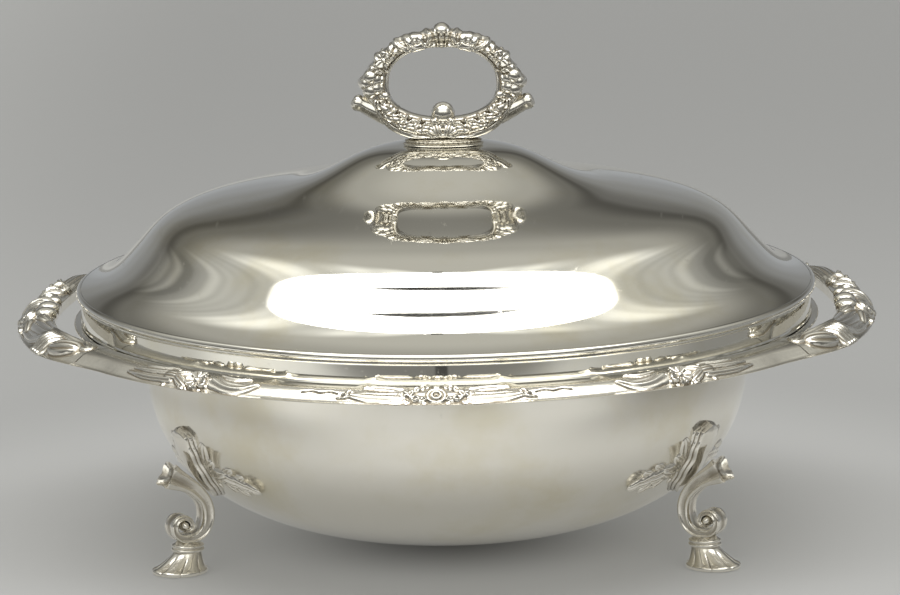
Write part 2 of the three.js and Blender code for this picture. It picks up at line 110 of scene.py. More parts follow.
def hypotenuse(tree, one, other):
    """The square root of the sum of two squares."""
    return worked(tree, "SQRT", worked(tree, "ADD", times(tree, one, one), times(tree, other, other)))


def faded(tree, value, low, high, to_low=0.0, to_high=1.0, interpolation="SMOOTHSTEP"):
    """A smooth step of value: to_low below low, to_high above high."""
    made = tree.nodes.new("ShaderNodeMapRange")
    made.interpolation_type = interpolation
    tree.links.new(value, made.inputs["Value"])
    for name, number in zip(("From Min", "From Max", "To Min", "To Max"), (low, high, to_low, to_high)):
        made.inputs[name].default_value = number
    return made.outputs["Result"]


def mixed(tree, share, one, other):
    """A blend of two colours, given as sockets or red, green and blue: one at share 0, other at 1."""
    made = tree.nodes.new("ShaderNodeMix")
    made.data_type = "RGBA"
    for name, value in (("Factor", share), ("A", one), ("B", other)):
        if isinstance(value, bpy.types.NodeSocket):
            tree.links.new(value, made.inputs[name])
        else:
            made.inputs[name].default_value = (*value, 1.0)
    return made.outputs["Result"]


def warm_grey(tree, value, blue_share):
    """A grey as light as the value, with its blue brought down to a share."""
    return joined(tree, "ShaderNodeCombineColor", value, value, times(tree, value, blue_share))


def plain_material(name):
    """A new material, its node tree, its shader and its Object coordinates."""
    material = bpy.data.materials.new(name)
    material.use_nodes = True
    tree = material.node_tree
    spot = tree.nodes.new("ShaderNodeTexCoord").outputs["Object"]
    return material, tree, tree.nodes["Principled BSDF"], spot


backdrop_heights = (-0.2, -0.02, 0.02, 0.1, 0.19, 0.3, 0.34, 0.42, 0.66, 0.9)
backdrop_tones = (
    (0.43, 0.44, 0.44), (0.40, 0.415, 0.425), (0.375, 0.39, 0.405), (0.315, 0.325, 0.335),
    (0.26, 0.265, 0.265), (0.15, 0.148, 0.14), (0.09, 0.088, 0.08), (0.17, 0.167, 0.152),
    (0.42, 0.415, 0.38), (0.555, 0.548, 0.505),
)
backdrop_seen = (0.375, 0.383, 0.378)
diffuser_strength = 4.2
diffuser_front = -0.62
diffuser_rear = 0.085
diffuser_fade = (0.42, 0.95)
bar_place = -0.27
bar_bend = 0.5
bar_half_width = 0.017
bar_fade = (0.1, 0.42)
tab_offset = 0.028
tab_half_width = 0.017
tab_half_length = 0.022
bar_darkness = 0.85
side_tones = (0.16, 0.528)
side_gains = (0.95, 2.4)
side_streaks = 2.6
panel_low = 0.36
panel_high = 0.76
panel_edge = 0.04
panel_strength = 1.1
front_tones = (0.12, 0.34)

world = bpy.data.worlds.new("studio")
bpy.context.scene.world = world
world.use_nodes = True
sky = world.node_tree
sky.nodes.clear()
direction = sky.nodes.new("ShaderNodeTexCoord").outputs["Generated"]
east, north, up = joined(sky, "ShaderNodeSeparateXYZ", direction).node.outputs
sideways = worked(sky, "ABSOLUTE", east)
backdrop = sky.nodes.new("ShaderNodeValToRGB")
backdrop.color_ramp.interpolation = "EASE"
lowest, highest = backdrop_heights[0], backdrop_heights[-1]
while len(backdrop.color_ramp.elements) < len(backdrop_heights):
    backdrop.color_ramp.elements.new(0.5)
for element, place, tone in zip(backdrop.color_ramp.elements, backdrop_heights, backdrop_tones):
    element.position = (place - lowest) / (highest - lowest)
    element.color = (*tone, 1.0)
sky.links.new(faded(sky, up, lowest, highest, interpolation="LINEAR"), backdrop.inputs["Fac"])
above = worked(sky, "MAXIMUM", up, 0.03)
across = worked(sky, "DIVIDE", sideways, above)
along = worked(sky, "DIVIDE", north, above)
beside = worked(sky, "DIVIDE", sideways, worked(sky, "MAXIMUM", hypotenuse(sky, east, north), 0.001))
wings = joined(sky, "ShaderNodeTexNoise", None, across, side_streaks, 2.0, noise_dimensions="1D")
side_light = times(sky, faded(sky, wings, 0.35, 0.68, *side_tones), faded(sky, up, 0.4, 0.74, *side_gains))
panel = times(
    sky, faded(sky, up, panel_low - panel_edge, panel_low + panel_edge / 2),
    faded(sky, up, panel_high - panel_edge, panel_high + panel_edge, 1.0, 0.0),
    faded(sky, beside, 0.62, 0.8, panel_strength, 0.0))
front_light = worked(sky, "ADD", panel, faded(sky, up, -0.1, 0.6, *front_tones))
room = mixed(sky, times(sky, faded(sky, beside, 0.5, 0.86), faded(sky, up, 0.12, 0.3)),
             backdrop.outputs["Color"], warm_grey(sky, side_light, 0.94))
room = mixed(sky, faded(sky, north, -0.25, 0.2), warm_grey(sky, front_light, 0.95), room)
bar_line = worked(sky, "MULTIPLY_ADD", times(sky, across, across), bar_bend, bar_place)
bar = worked(sky, "LESS_THAN", worked(sky, "ABSOLUTE", worked(sky, "SUBTRACT", along, bar_line)),
             faded(sky, across, *bar_fade, bar_half_width, 0.0))
from_rear = worked(sky, "ABSOLUTE", worked(sky, "SUBTRACT", along, diffuser_rear))
from_tab = worked(sky, "ABSOLUTE", worked(sky, "ADD", east, tab_offset))
tab = times(sky, worked(sky, "LESS_THAN", from_rear, tab_half_length),
            worked(sky, "LESS_THAN", from_tab, tab_half_width))
darkened = worked(sky, "MAXIMUM", bar, tab)
lamp = times(
    sky, faded(sky, along, diffuser_front - 0.02, diffuser_front),
    faded(sky, along, diffuser_rear - 0.012, diffuser_rear, 1.0, 0.0),
    faded(sky, across, *diffuser_fade, 1.0, 0.0), worked(sky, "SUBTRACT", 1.0, darkened, clamp=True),
    diffuser_strength)
dimmed = worked(sky, "SUBTRACT", 1.0, times(sky, darkened, bar_darkness))
room = joined(sky, "ShaderNodeVectorMath", room, None, None, dimmed, operation="SCALE")
lit_room = joined(sky, "ShaderNodeVectorMath", room,
                  joined(sky, "ShaderNodeCombineXYZ", lamp, lamp, lamp), operation="ADD")
seen_straight = sky.nodes.new("ShaderNodeLightPath").outputs["Is Camera Ray"]
background = joined(sky, "ShaderNodeBackground", mixed(sky, seen_straight, lit_room, backdrop_seen), 1.0)
sky.links.new(background, sky.nodes.new("ShaderNodeOutputWorld").inputs["Surface"])

table_radius = 30.0
table_corners = 64
table_level = -0.0002
table_front = -2.0
table_back = 1.4
# Painted light and shade on the table along its depth: a bright band just in front of the dish, where the
# overhead diffuser's light would pool, and dark further in front, where the room would be dim.
table_places = (-0.8, -0.6, -0.52, -0.42, -0.3, -0.1, 0.3, 0.75)
table_light_and_shade = (0.08, 0.13, 0.16, 0.54, 0.58, 0.34, 0.35, 0.30)
table_end_light_and_shade = (0.06, 0.29)
# Painted reflection: a dark stripe on the table in front of the dish, there only for the skirt and dome to
# mirror as a dark line.
stripe_fade = (0.012, 0.02)
stripe_end = (-0.53, -0.50)
stripe_darkness = 0.85
# Painted fill light: where a glow on the table round the dish rises and fades, and how much of it the camera
# sees.
glow_inner = (0.0, 0.08, 0.03, 0.26)
glow_outer = (0.12, 0.30)
seen_front = -0.1
seen_lightness = (0.97, 0.88)
seen_glow = (1.0, 0.6)
table_edge = around(table_radius, full_turn(table_corners), table_level)
table_mesh = bpy.data.meshes.new("floor")
table_mesh.from_pydata(table_edge.tolist(), [], [list(range(table_corners))])
table_top, tree, table, table_spot = plain_material("table_top")
table_x, table_y = joined(tree, "ShaderNodeSeparateXYZ", table_spot).node.outputs[:2]
# The dish mirrors the table's painted light and shade and its painted dark stripe; the camera sees it plain
# and a little darker.
seen_straight = tree.nodes.new("ShaderNodeLightPath").outputs["Is Camera Ray"]
table_depth = worked(tree, "MAXIMUM", table_y, faded(tree, seen_straight, 0.0, 1.0, table_front, seen_front))
lightness = joined(tree, "ShaderNodeFloatCurve", 1.0, faded(
    tree, table_depth, table_front, table_back, interpolation="LINEAR"))
tone_curve = lightness.node.mapping.curves[0]
for place, tone in zip(table_places, table_light_and_shade):
    tone_curve.points.new((place - table_front) / (table_back - table_front), tone)
for point, tone in zip((tone_curve.points[0], tone_curve.points[-1]), table_end_light_and_shade):
    point.location[1] = tone
lightness.node.mapping.update()
# The painted dark stripe: narrow across, from the table's front end up to about half a metre before the dish.
stripe = times(tree, faded(tree, worked(tree, "ABSOLUTE", table_x), *stripe_fade, 1.0, 0.0),
               faded(tree, table_depth, *stripe_end, 1.0, 0.0))
# Painted light and shade across the table, for the dish to mirror: lighter to the left of the dish, darker to
# its right and far to its left; the painted dark stripe darkens it too.
lightness = times(
    tree, lightness, worked(tree, "SUBTRACT", 1.0, times(tree, stripe, stripe_darkness)),
    faded(tree, table_x, -0.42, -0.14, 1.35, 1.0), faded(tree, table_x, 0.26, 0.46, 1.0, 0.62),
    faded(tree, table_x, -0.8, -0.5, 0.6, 1.0), faded(tree, seen_straight, 0.0, 1.0, *seen_lightness))
tree.links.new(warm_grey(tree, lightness, 0.985), table.inputs["Base Color"])
# Painted fill light: the table glows in a ring round the dish, less for camera rays, lifting the shadow under
# the bowl and what the bowl mirrors of it.
from_middle = hypotenuse(tree, table_x, table_y)
glow = times(
    tree, faded(tree, from_middle, *glow_inner), faded(tree, from_middle, *glow_outer, 1.0, 0.0),
    faded(tree, seen_straight, 0.0, 1.0, *seen_glow))
tree.links.new(warm_grey(tree, glow, 0.96), table.inputs["Emission Color"])
table.inputs["Emission Strength"].default_value = 1.0
table.inputs["Roughness"].default_value = 0.55
table.inputs["Specular IOR Level"].default_value = 0.1
table_mesh.materials.append(table_top)
floor = bpy.data.objects.new("floor", table_mesh)
bpy.context.scene.collection.objects.link(floor)


# Bowl
# A deep round bowl of spun brass with a flat brim, silver plated and polished.
# Its curve is a superellipse; the brim turns out from the straight top of the wall.
def placed(name, points, faces, material, body, nodes, smooth_under=35.0, relief=None):
    """A finished piece from its corners and faces, riding on a body in place of CAD nodes."""
    mesh = bpy.data.meshes.new(name)
    mesh.from_pydata(np.asarray(points).tolist(), [], [list(face) for face in faces])
    if relief is not None:
        held = mesh.attributes.new("relief", "FLOAT", "POINT")
        held.data.foreach_set("value", np.asarray(relief, dtype=np.float32))
    mesh.materials.append(material)
    mesh.shade_smooth()
    mesh.set_sharp_from_angle(angle=math.radians(smooth_under))
    piece = bpy.data.objects.new(name, mesh)
    bpy.context.scene.collection.objects.link(piece)
    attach(piece, body)
    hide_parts(*nodes)


def net(rows, count, looped):
    """Quads of a grid that closes on itself along its second axis, and along its first if looped."""
    low = np.arange(rows if looped else rows - 1)[:, None]
    high = (low + 1) % rows
    here = np.arange(count)[None, :]
    there = (here + 1) % count
    return np.stack(np.broadcast_arrays(
        low * count + here, low * count + there, high * count + there, high * count + here,
    ), axis=-1).reshape(-1, 4)


def turned(profile, steps=384):
    """A profile of (radius, height) rows carried round +Z: (r cos t, r sin t, z).

    A profile that starts or ends on the axis is closed there by a fan; any other is closed on itself.
    """
    profile = np.asarray(profile, dtype=float)
    on_axis = np.isclose(profile[:, 0], 0)
    rings = profile[~on_axis]
    points = around(rings[:, :1], full_turn(steps), rings[:, 1:]).reshape(-1, 3)
    faces = net(len(rings), steps, not on_axis.any()).tolist()
    for end, ring, against in ((0, 0, True), (-1, len(rings) - 1, False)):
        if on_axis[end]:
            points = np.vstack([points, [[0, 0, profile[end, 1]]]])
            rim = ring * steps + np.arange(steps)
            pair = (np.roll(rim, -1), rim) if against else (rim, np.roll(rim, -1))
            faces += np.c_[pair[0], pair[1], np.full(steps, len(points) - 1)].tolist()
    return points, faces


def superellipse(radius, depth, power, shoulder, count=72):
    """From the axis up to the shoulder: the powers of reach over radius and drop over depth add up to 1."""
    turn = np.linspace(0, np.pi / 2, count)
    return np.c_[radius * np.sin(turn) ** (2 / power), shoulder - depth * np.cos(turn) ** (2 / power)]


def rounded(corners, radii, steps=8):
    """A polyline with its inner corners rounded off: each a circular arc of the radius given."""
    corners = np.asarray(corners, dtype=float)
    line = [corners[0][None]]
    for before, corner, after, radius in zip(corners[:-2], corners[1:-1], corners[2:], radii):
        if radius <= 0:
            line.append(corner[None])
            continue
        back_way = (before - corner) / np.linalg.norm(before - corner)
        on_way = (after - corner) / np.linalg.norm(after - corner)
        half = np.arccos(np.clip(back_way @ on_way, -1, 1)) / 2
        middle_way = (back_way + on_way) / np.linalg.norm(back_way + on_way)
        centre = corner + middle_way * radius / np.sin(half)
        start = corner + back_way * radius / np.tan(half) - centre
        end = corner + on_way * radius / np.tan(half) - centre
        share = np.linspace(0, 1, steps)[:, None]
        sweep = np.pi - 2 * half
        arc = np.sin((1 - share) * sweep) * start + np.sin(share * sweep) * end
        line.append(centre + arc / np.sin(sweep))
    line.append(corners[-1][None])
    return np.vstack(line)


def eased(knots, values, spots):
    """Values, or rows of them, between knots: a cubic Hermite curve with slopes from the neighbours."""
    lean = np.gradient(values, knots, axis=0)
    low = np.clip(np.searchsorted(knots, spots) - 1, 0, len(knots) - 2)
    span = knots[low + 1] - knots[low]
    share = (spots - knots[low]) / span
    start = (1 + 2 * share) * (1 - share) ** 2 * values[low].T + share * (1 - share) ** 2 * span * lean[low].T
    share_on = share ** 2 * (3 - 2 * share)
    return (start + share_on * values[low + 1].T + share ** 2 * (share - 1) * span * lean[low + 1].T).T


def measured(line):
    """The length along a line up to each of its points."""
    return np.concatenate([[0], np.cumsum(np.linalg.norm(np.diff(line, axis=0), axis=1))])


def headed(line):
    """The direction of a line at each of its points, 1 long."""
    ahead = np.gradient(line, axis=0)
    return ahead / np.linalg.norm(ahead, axis=1)[:, None]


def clouded(tree, spot, scale, detail=2.0, roughness=0.5):
    """Noise round the spot, between 0 and 1."""
    return joined(tree, "ShaderNodeTexNoise", spot, None, scale, detail, roughness)


def bumped(tree, shader, height, distance, strength):
    """Gives the shader a bump from a height."""
    bump = tree.nodes.new("ShaderNodeBump")
    bump.inputs["Strength"].default_value = strength
    bump.inputs["Distance"].default_value = distance
    tree.links.new(height, bump.inputs["Height"])
    tree.links.new(bump.outputs["Normal"], shader.inputs["Normal"])


def silver_plate(name, tone, roughness, scratch, ripple):
    """Polished silver plate on spun metal.

    Colour: the tone with faint yellow tarnish in broad clouds. Roughness: a base with hand wear in
    clouds and fine scratches. Bump: rings left by the spinning, scratches and a slow ripple.
    """
    material, tree, shader, spot = plain_material(name)
    shader.inputs["Metallic"].default_value = 1.0
    clouds = clouded(tree, spot, 22.0, 5.0, 0.62)
    yellowed = (tone[0] * 0.93, tone[1] * 0.9, tone[2] * 0.8)
    tree.links.new(mixed(tree, faded(tree, clouds, 0.45, 0.75), tone, yellowed), shader.inputs["Base Color"])
    x, y, z = joined(tree, "ShaderNodeSeparateXYZ", spot).node.outputs
    path = worked(tree, "MULTIPLY_ADD", z, 1.31, hypotenuse(tree, x, y))
    rings = joined(tree, "ShaderNodeTexNoise", None, path, 900.0, 3.0, noise_dimensions="1D")
    scratches = []
    for angle, size in ((0.4, 260.0), (1.5, 330.0), (2.6, 290.0)):
        tilt = (angle, angle * 0.7, angle * 1.3)
        laid = joined(tree, "ShaderNodeMapping", spot, None, tilt, (1.0, 0.035, 1.0))
        scratches.append(faded(tree, clouded(tree, laid, size), 0.68, 0.76))
    marks = worked(tree, "MAXIMUM", worked(tree, "MAXIMUM", scratches[0], scratches[1]), scratches[2])
    wear = faded(tree, clouds, 0.35, 0.7, roughness * 0.75, roughness * 1.5)
    tree.links.new(worked(tree, "MULTIPLY_ADD", marks, scratch, wear), shader.inputs["Roughness"])
    height = times(tree, rings, 0.00000025)
    height = worked(tree, "MULTIPLY_ADD", marks, -0.0000004, height)
    height = worked(tree, "MULTIPLY_ADD", clouded(tree, spot, 16.0, 1.0), ripple, height)
    bumped(tree, shader, height, 1.0, 1.0)
    return material


bowl_radius = 0.108
bowl_depth = 0.0665
bowl_shoulder = 0.070
bowl_power = 2.5
bowl_wall = 0.0012
brim_radius = 0.1334
brim_under = 0.0804
brim_top = 0.0816
brim_bend = 0.0022
brim_edge = 0.0005
bowl_outside = superellipse(bowl_radius, bowl_depth, bowl_power, bowl_shoulder)
bowl_inside = superellipse(bowl_radius - bowl_wall, bowl_depth - bowl_wall, bowl_power, bowl_shoulder)
brim_line = rounded(
    [(bowl_radius, bowl_shoulder), (bowl_radius, brim_under), (brim_radius, brim_under),
     (brim_radius, brim_top), (bowl_radius - bowl_wall, brim_top), (bowl_radius - bowl_wall, bowl_shoulder)],
    [brim_bend, brim_edge, brim_edge, brim_bend + bowl_wall],
)
bowl_silver = silver_plate("bowl_silver", (0.80, 0.775, 0.71), 0.10, 0.08, 0.000012)
points, faces = turned(np.vstack([bowl_outside[:-1], brim_line, bowl_inside[:-1][::-1]]))
placed("bowl_shell", points, faces, bowl_silver, "dish", ["bowl", "bowl_brim"])


# Glass liner
# A heat-proof pressed glass dish that hangs in the bowl by its rim, 4 mm thick.
def clear_glass(name):
    """Clear glass with a faint green body and slight unevenness from the mould."""
    material, tree, shader, spot = plain_material(name)
    shader.inputs["Base Color"].default_value = (0.93, 0.975, 0.955, 1.0)
    shader.inputs["Transmission Weight"].default_value = 1.0
    shader.inputs["IOR"].default_value = 1.47
    cloud = clouded(tree, spot, 35.0)
    tree.links.new(faded(tree, cloud, 0.4, 0.7, 0.015, 0.06), shader.inputs["Roughness"])
    bumped(tree, shader, cloud, 0.00004, 0.6)
    return material


liner_radius = 0.1045
liner_depth = 0.0615
liner_wall = 0.004
liner_rim_radius = 0.113
seat_height = 0.0819
liner_rim_top = 0.0859
liner_outside = superellipse(liner_radius, liner_depth, bowl_power, bowl_shoulder)
liner_inside = superellipse(liner_radius - liner_wall, liner_depth - liner_wall, bowl_power, bowl_shoulder)
liner_rim = rounded(
    [(liner_radius, bowl_shoulder), (liner_radius, seat_height), (liner_rim_radius, seat_height),
     (liner_rim_radius, liner_rim_top), (liner_radius - liner_wall, liner_rim_top),
     (liner_radius - liner_wall, bowl_shoulder)],
    [0.0012, 0.0008, 0.0016, 0.0024], steps=7,
)
liner_finish = clear_glass("liner_clear_glass")
points, faces = turned(np.vstack([liner_outside[:-1], liner_rim, liner_inside[:-1][::-1]]), steps=256)
placed("liner_glass", points, faces, liner_finish, "liner", ["glass_liner"])


# Lid
# A dome of spun brass with a raised bell in its middle, silver plated to a mirror finish.
# It sits on a skirt band, and a half-round bead covers their joint.
lid_radius = 0.1307
lid_wall = 0.0011
flange_top = 0.0937
lid_seat_radius = 0.0155
stud_hole = 0.0027
slope_radii = np.array((
    1.5, 10, 18, 24, 29, 34, 38, 42, 46, 50, 54, 58, 63, 68, 74,
    80, 86, 91, 95, 99, 102, 105, 108, 111, 114, 117, 120, 124, 130.7,
)) / 1000
slope_degrees = np.array((
    0.0, 1.1, 5.5, 12.4, 20.2, 25.9, 27.6, 26.4, 23.0, 18.7, 15.0, 12.0, 10.0, 9.9, 10.2,
    11.2, 13.2, 16.5, 21.7, 28.4, 35.6, 43.3, 47.5, 47.9, 47.3, 44.2, 37.6, 26.8, 15.0,
))
lid_radii = np.linspace(lid_radius, lid_seat_radius, 124)
fall = np.tan(np.radians(eased(slope_radii, slope_degrees, lid_radii)))
steps_up = (fall[1:] + fall[:-1]) / 2 * -np.diff(lid_radii)
lid_outside = np.c_[lid_radii, flange_top + np.concatenate([[0], np.cumsum(steps_up)])]
ahead = headed(lid_outside)
lid_inside = lid_outside + lid_wall * np.c_[-ahead[:, 1], ahead[:, 0]]
lid_top = lid_outside[-1, 1]
lid_inside[0] = (lid_radius, flange_top - lid_wall)
lid_inside[-1] = (lid_seat_radius, lid_top - lid_wall)
lid_silver = silver_plate("lid_silver", (0.82, 0.80, 0.735), 0.045, 0.10, 0.00002)
lid_hole = [(stud_hole, lid_top), (stud_hole, lid_top - lid_wall)]
points, faces = turned(np.vstack([lid_outside, lid_hole, lid_inside[::-1]]))
placed("lid_dome_shell", points, faces, lid_silver, "lid", ["lid_dome"])

bead_inner = 0.1308
bead_bottom = 0.0909
bead_height = 0.0028
bead_reach = 0.0016
half_turn = np.linspace(-np.pi / 2, np.pi / 2, 17)
points, faces = turned(np.c_[bead_inner + bead_reach * np.cos(half_turn) ** 0.8,
                             bead_bottom + bead_height / 2 * (1 + np.sin(half_turn))])
placed("lid_bead_moulding", points, faces, lid_silver, "lid", ["lid_bead"], 50)

skirt_top = 0.0923
skirt_lip = 0.0003
ring_low, ring_middle, ring_high = 0.0898, 0.09005, 0.0903
ring_reach = 0.0002
# The rows between the lip and the ring keep the band flat under smooth shading.
skirt_line = rounded([
    (lid_radius - lid_wall, seat_height), (lid_radius + skirt_lip, seat_height),
    (lid_radius + skirt_lip, seat_height + 0.0009), (lid_radius, seat_height + 0.0016),
    (lid_radius, seat_height + 0.0022), (lid_radius, seat_height + 0.0030), (lid_radius, ring_low - 0.0010),
    (lid_radius, ring_low - 0.0004), (lid_radius, ring_low), (lid_radius + ring_reach, ring_middle),
    (lid_radius, ring_high), (lid_radius, skirt_top), (lid_radius - lid_wall, skirt_top),
], [0.0002, 0.0002, 0.0004, 0, 0, 0, 0, 0.0001, 0.0001, 0.0001, 0.0001], steps=5)
skirt_silver = silver_plate("skirt_silver", (0.80, 0.78, 0.71), 0.045, 0.10, 0.00006)
points, faces = turned(skirt_line)
placed("lid_skirt_band", points, faces, skirt_silver, "lid", ["lid_skirt"], 60)


# Border
# The wreath round the brim: two cast arcs of silver-plated metal, soldered on so that their lip
# hooks down past the brim's edge. Shells, flowers, leaves and ribbons stand up from a smooth band.
def numbers(*lines):
    """Rows of numbers from lines of words: one stamp or control per line."""
    return [tuple(float(word) for word in line.split()) for line in lines]


def ramp(value, start, run):
    """Rises evenly from 0 at the start to 1 a run further on; a negative run lies below the start."""
    return np.clip((value - start) / run, 0, 1)


def smooth(share):
    """Three times the square less twice the cube of a share: eased at both ends."""
    return share ** 2 * (3 - 2 * share)


def hump(value, middle, width):
    """A bell curve, 1 at its middle: e to the minus square of the distance over the width."""
    return np.exp(-((value - middle) / width) ** 2)


def leaf(x, y):
    """A bent leaf from (-1, 0) to (1, 0): lobed edge, sunk midrib, slanting veins."""
    along = np.clip((x + 1) / 2, 0, 1)
    y = y - 0.15 * np.sin(np.pi * along)
    lobes = 1 + 0.14 * np.cos(2 * np.pi * (2.4 * along - 0.5))
    side = np.abs(y) / (0.47 * np.sin(np.pi * along ** 0.8) ** 0.75 * lobes + 1e-4)
    veins = 0.75 + 0.25 * np.cos(2 * np.pi * (2.4 * along - 0.5 * side))
    swell = 0.36 * np.clip(1 - side ** 3, 0, 1) ** 0.6 * veins
    return np.where(np.abs(x) < 1, swell - 0.13 * hump(y, 0, 0.06) * (side < 1), 0)


def flower(x, y):
    """Five cupped petals round a boss, inside the unit circle."""
    reach, turn = np.hypot(x, y), np.arctan2(y, x)
    petal = np.abs(np.cos(2.5 * turn))
    share = reach / (0.68 + 0.32 * petal ** 0.6)
    cup = (0.17 + 0.24 * share ** 1.6) * np.clip((1 - share) / 0.1, 0, 1) ** 0.5
    cup = cup * (1 - 0.75 * hump(petal, 0, 0.16)) - 0.05 * hump(petal, 1, 0.02)
    return np.maximum(cup * (share < 1), 0.36 * np.sqrt(np.clip(1 - (reach / 0.27) ** 2, 0, 1)))


def fan(x, y):
    """A fluted shell that opens towards +y from its root at (0, -0.8), with a scalloped edge."""
    reach, turn = np.hypot(x, y + 0.8), np.arctan2(x, y + 0.8)
    flutes = np.abs(np.cos(4.5 * turn))
    share = reach / (1.55 * np.sqrt(np.clip(np.cos(turn * 0.92), 0.01, 1)) * (0.93 + 0.07 * flutes))
    body = 0.38 * share ** 0.6 * np.clip(1 - share ** 5, 0, 1) ** 0.6 * (0.62 + 0.38 * flutes ** 0.7)
    step = 0.05 * np.cos(share * 19) * (share > 0.45)
    return np.where((share < 1) & (np.abs(turn) < 1.35), body + step * (1 - share), 0)


def lobe(x, y):
    """A fluted petal over an ellipse half as wide as long: three ribs run along it."""
    body = np.clip(1 - x ** 2 - (y / 0.5) ** 2, 0, 1)
    side = y / (0.5 * np.sqrt(np.clip(1 - x ** 2, 1e-4, 1)))
    return 0.4 * body ** 0.4 * (0.84 + 0.16 * np.cos(3 * np.pi * side)) * (0.8 + 0.2 * x)


def rosette(x, y):
    """Rings within rings round a bud, inside the unit circle."""
    reach = np.hypot(x, y)
    return 0.42 * np.clip(1 - reach ** 2, 0, 1) ** 0.45 * (0.74 + 0.26 * np.cos(2 * np.pi * 2.5 * reach))


def bead(x, y):
    """Part of a ball on the unit circle, 0.7 high."""
    return 0.7 * np.sqrt(np.clip(1 - x ** 2 - y ** 2, 0, 1))


def stamped(height, s, t, *sets):
    """Raises a height map by forms. Each set is a form and its rows: s, t, turn in degrees, size, lift."""
    for form, *rows in sets:
        for s0, t0, turn, size, lift in numbers(*rows):
            cos, sin = math.cos(math.radians(turn)), math.sin(math.radians(turn))
            near = (np.abs(s - s0) < 1.5 * size) & (np.abs(t - t0) < 1.5 * size)
            east, north = (s[near] - s0) / size, (t[near] - t0) / size
            raised = lift * size * form(east * cos + north * sin, north * cos - east * sin)
            height[near] = np.maximum(height[near], raised)


def ribbons(height, s, t, *rows):
    """Raises a height map by rounded, ribbed ribbons, one per row: half width, lift, taper and its path.

    The path is a curve through words of s and t. The half width falls to the taper's share at the
    start and swells to a rounded lobe at the end.
    """
    for width, lift, taper, *path in rows:
        controls = np.array(numbers(*path))
        knots = measured(controls)
        share = np.linspace(0, 1, 48)
        line = eased(knots, controls, share * knots[-1])
        halves = width * (taper + (1 - taper) * np.minimum(1, share * 2.2))
        halves *= 1 + 0.22 * hump(share, 0.96, 0.07)
        low, high = line.min(axis=0) - halves.max(), line.max(axis=0) + halves.max()
        near = (s > low[0]) & (s < high[0]) & (t > low[1]) & (t < high[1])
        here = np.stack([s[near], t[near]], axis=-1)
        best = np.full(len(here), 9.0)
        for start, end, half in zip(line[:-1], line[1:], halves[1:]):
            way = end - start
            spot = np.clip((here - start) @ way / (way @ way), 0, 1)
            best = np.minimum(best, np.linalg.norm(here - start - spot[:, None] * way, axis=1) / half)
        raised = lift * np.sqrt(np.clip(1 - best ** 2, 0, 1)) * (0.82 + 0.18 * np.cos(2 * np.pi * best))
        height[near] = np.maximum(height[near], raised)


def recessed(height, reach, scale):
    """Tarnish share of each spot: how far it lies under the mean of its neighbourhood."""
    mean = height
    for axis in (0, 1):
        mean = sum(np.roll(mean, shift, axis) for shift in range(-reach, reach + 1)) / (2 * reach + 1)
    return np.clip((mean - height) / scale + 0.18, 0, 1)


def outward(points, quads):
    """Whether quads face outwards: the signed volume that they enclose isn't below 0."""
    a, b, c, d = points[quads].transpose(1, 0, 2)
    return (np.cross(a, b) * c + np.cross(a, c) * d).sum() >= 0


def cast(skin, height=0.0, looped=False):
    """A closed skin from a grid of points, pushed out along its normals by a height map.

    Its second axis runs round the section and closes on itself; the first is looped or gets end fans.
    """
    along = np.roll(skin, -1, 0) - np.roll(skin, 1, 0) if looped else np.gradient(skin, axis=0)
    normal = np.cross(np.roll(skin, -1, 1) - np.roll(skin, 1, 1), along)
    normal /= np.linalg.norm(normal, axis=-1, keepdims=True) + 1e-12
    inward = ((skin - skin.mean(axis=1, keepdims=True)) * normal).sum() < 0
    pushed = skin + (-normal if inward else normal) * np.asarray(height)[..., None]
    rows, count = skin.shape[:2]
    quads = net(rows, count, looped)
    points = pushed.reshape(-1, 3)
    faces = quads.tolist()
    facing_out = outward(points, quads)
    if not looped:
        points = np.vstack([points, pushed[0].mean(axis=0), pushed[-1].mean(axis=0)])
        first, last = np.arange(count), (rows - 1) * count + np.arange(count)
        faces += np.c_[np.roll(first, -1), first, np.full(count, rows * count)].tolist()
        faces += np.c_[last, np.roll(last, -1), np.full(count, rows * count + 1)].tolist()
    return points, faces if facing_out else [face[::-1] for face in faces]


def cast_silver(name, bright, dull):
    """Cast, plated ornament: bright where hands polish it, brown-grey tarnish in its recesses.

    The relief attribute mixes the two tones and raises the roughness; noise breaks it up and pits it.
    """
    material, tree, shader, spot = plain_material(name)
    shader.inputs["Metallic"].default_value = 1.0
    held = tree.nodes.new("ShaderNodeAttribute")
    held.attribute_name = "relief"
    uneven = worked(tree, "MULTIPLY_ADD", clouded(tree, spot, 160.0, 5.0), 0.7, -0.35)
    depth = worked(tree, "ADD", held.outputs["Fac"], uneven)
    tree.links.new(mixed(tree, faded(tree, depth, 0.12, 0.85), bright, dull), shader.inputs["Base Color"])
    tree.links.new(faded(tree, depth, 0.0, 0.9, 0.13, 0.5), shader.inputs["Roughness"])
    bumped(tree, shader, clouded(tree, spot, 900.0, 3.0), 0.00006, 0.5)
    return material


mm = 0.001
section_places = np.array((0, 0, 0.05, 0.185, 0.30, 0.5, 0.65, 0.78, 0.915, 1.0, 0.98))
section_heights = np.array((0, 0.37, 0.74, 0.97, 1.0, 0.84, 0.47, -0.21, -0.78, -0.94, -1.0))
section_knots = np.array((0, 0.042, 0.102, 0.22, 0.316, 0.487, 0.62, 0.76, 0.905, 0.98, 1.0))
section_top = 62
section_under = 14
section_spots = np.linspace(0, 1, section_top)
section_weights = eased(section_knots, np.eye(len(section_knots)), section_spots)


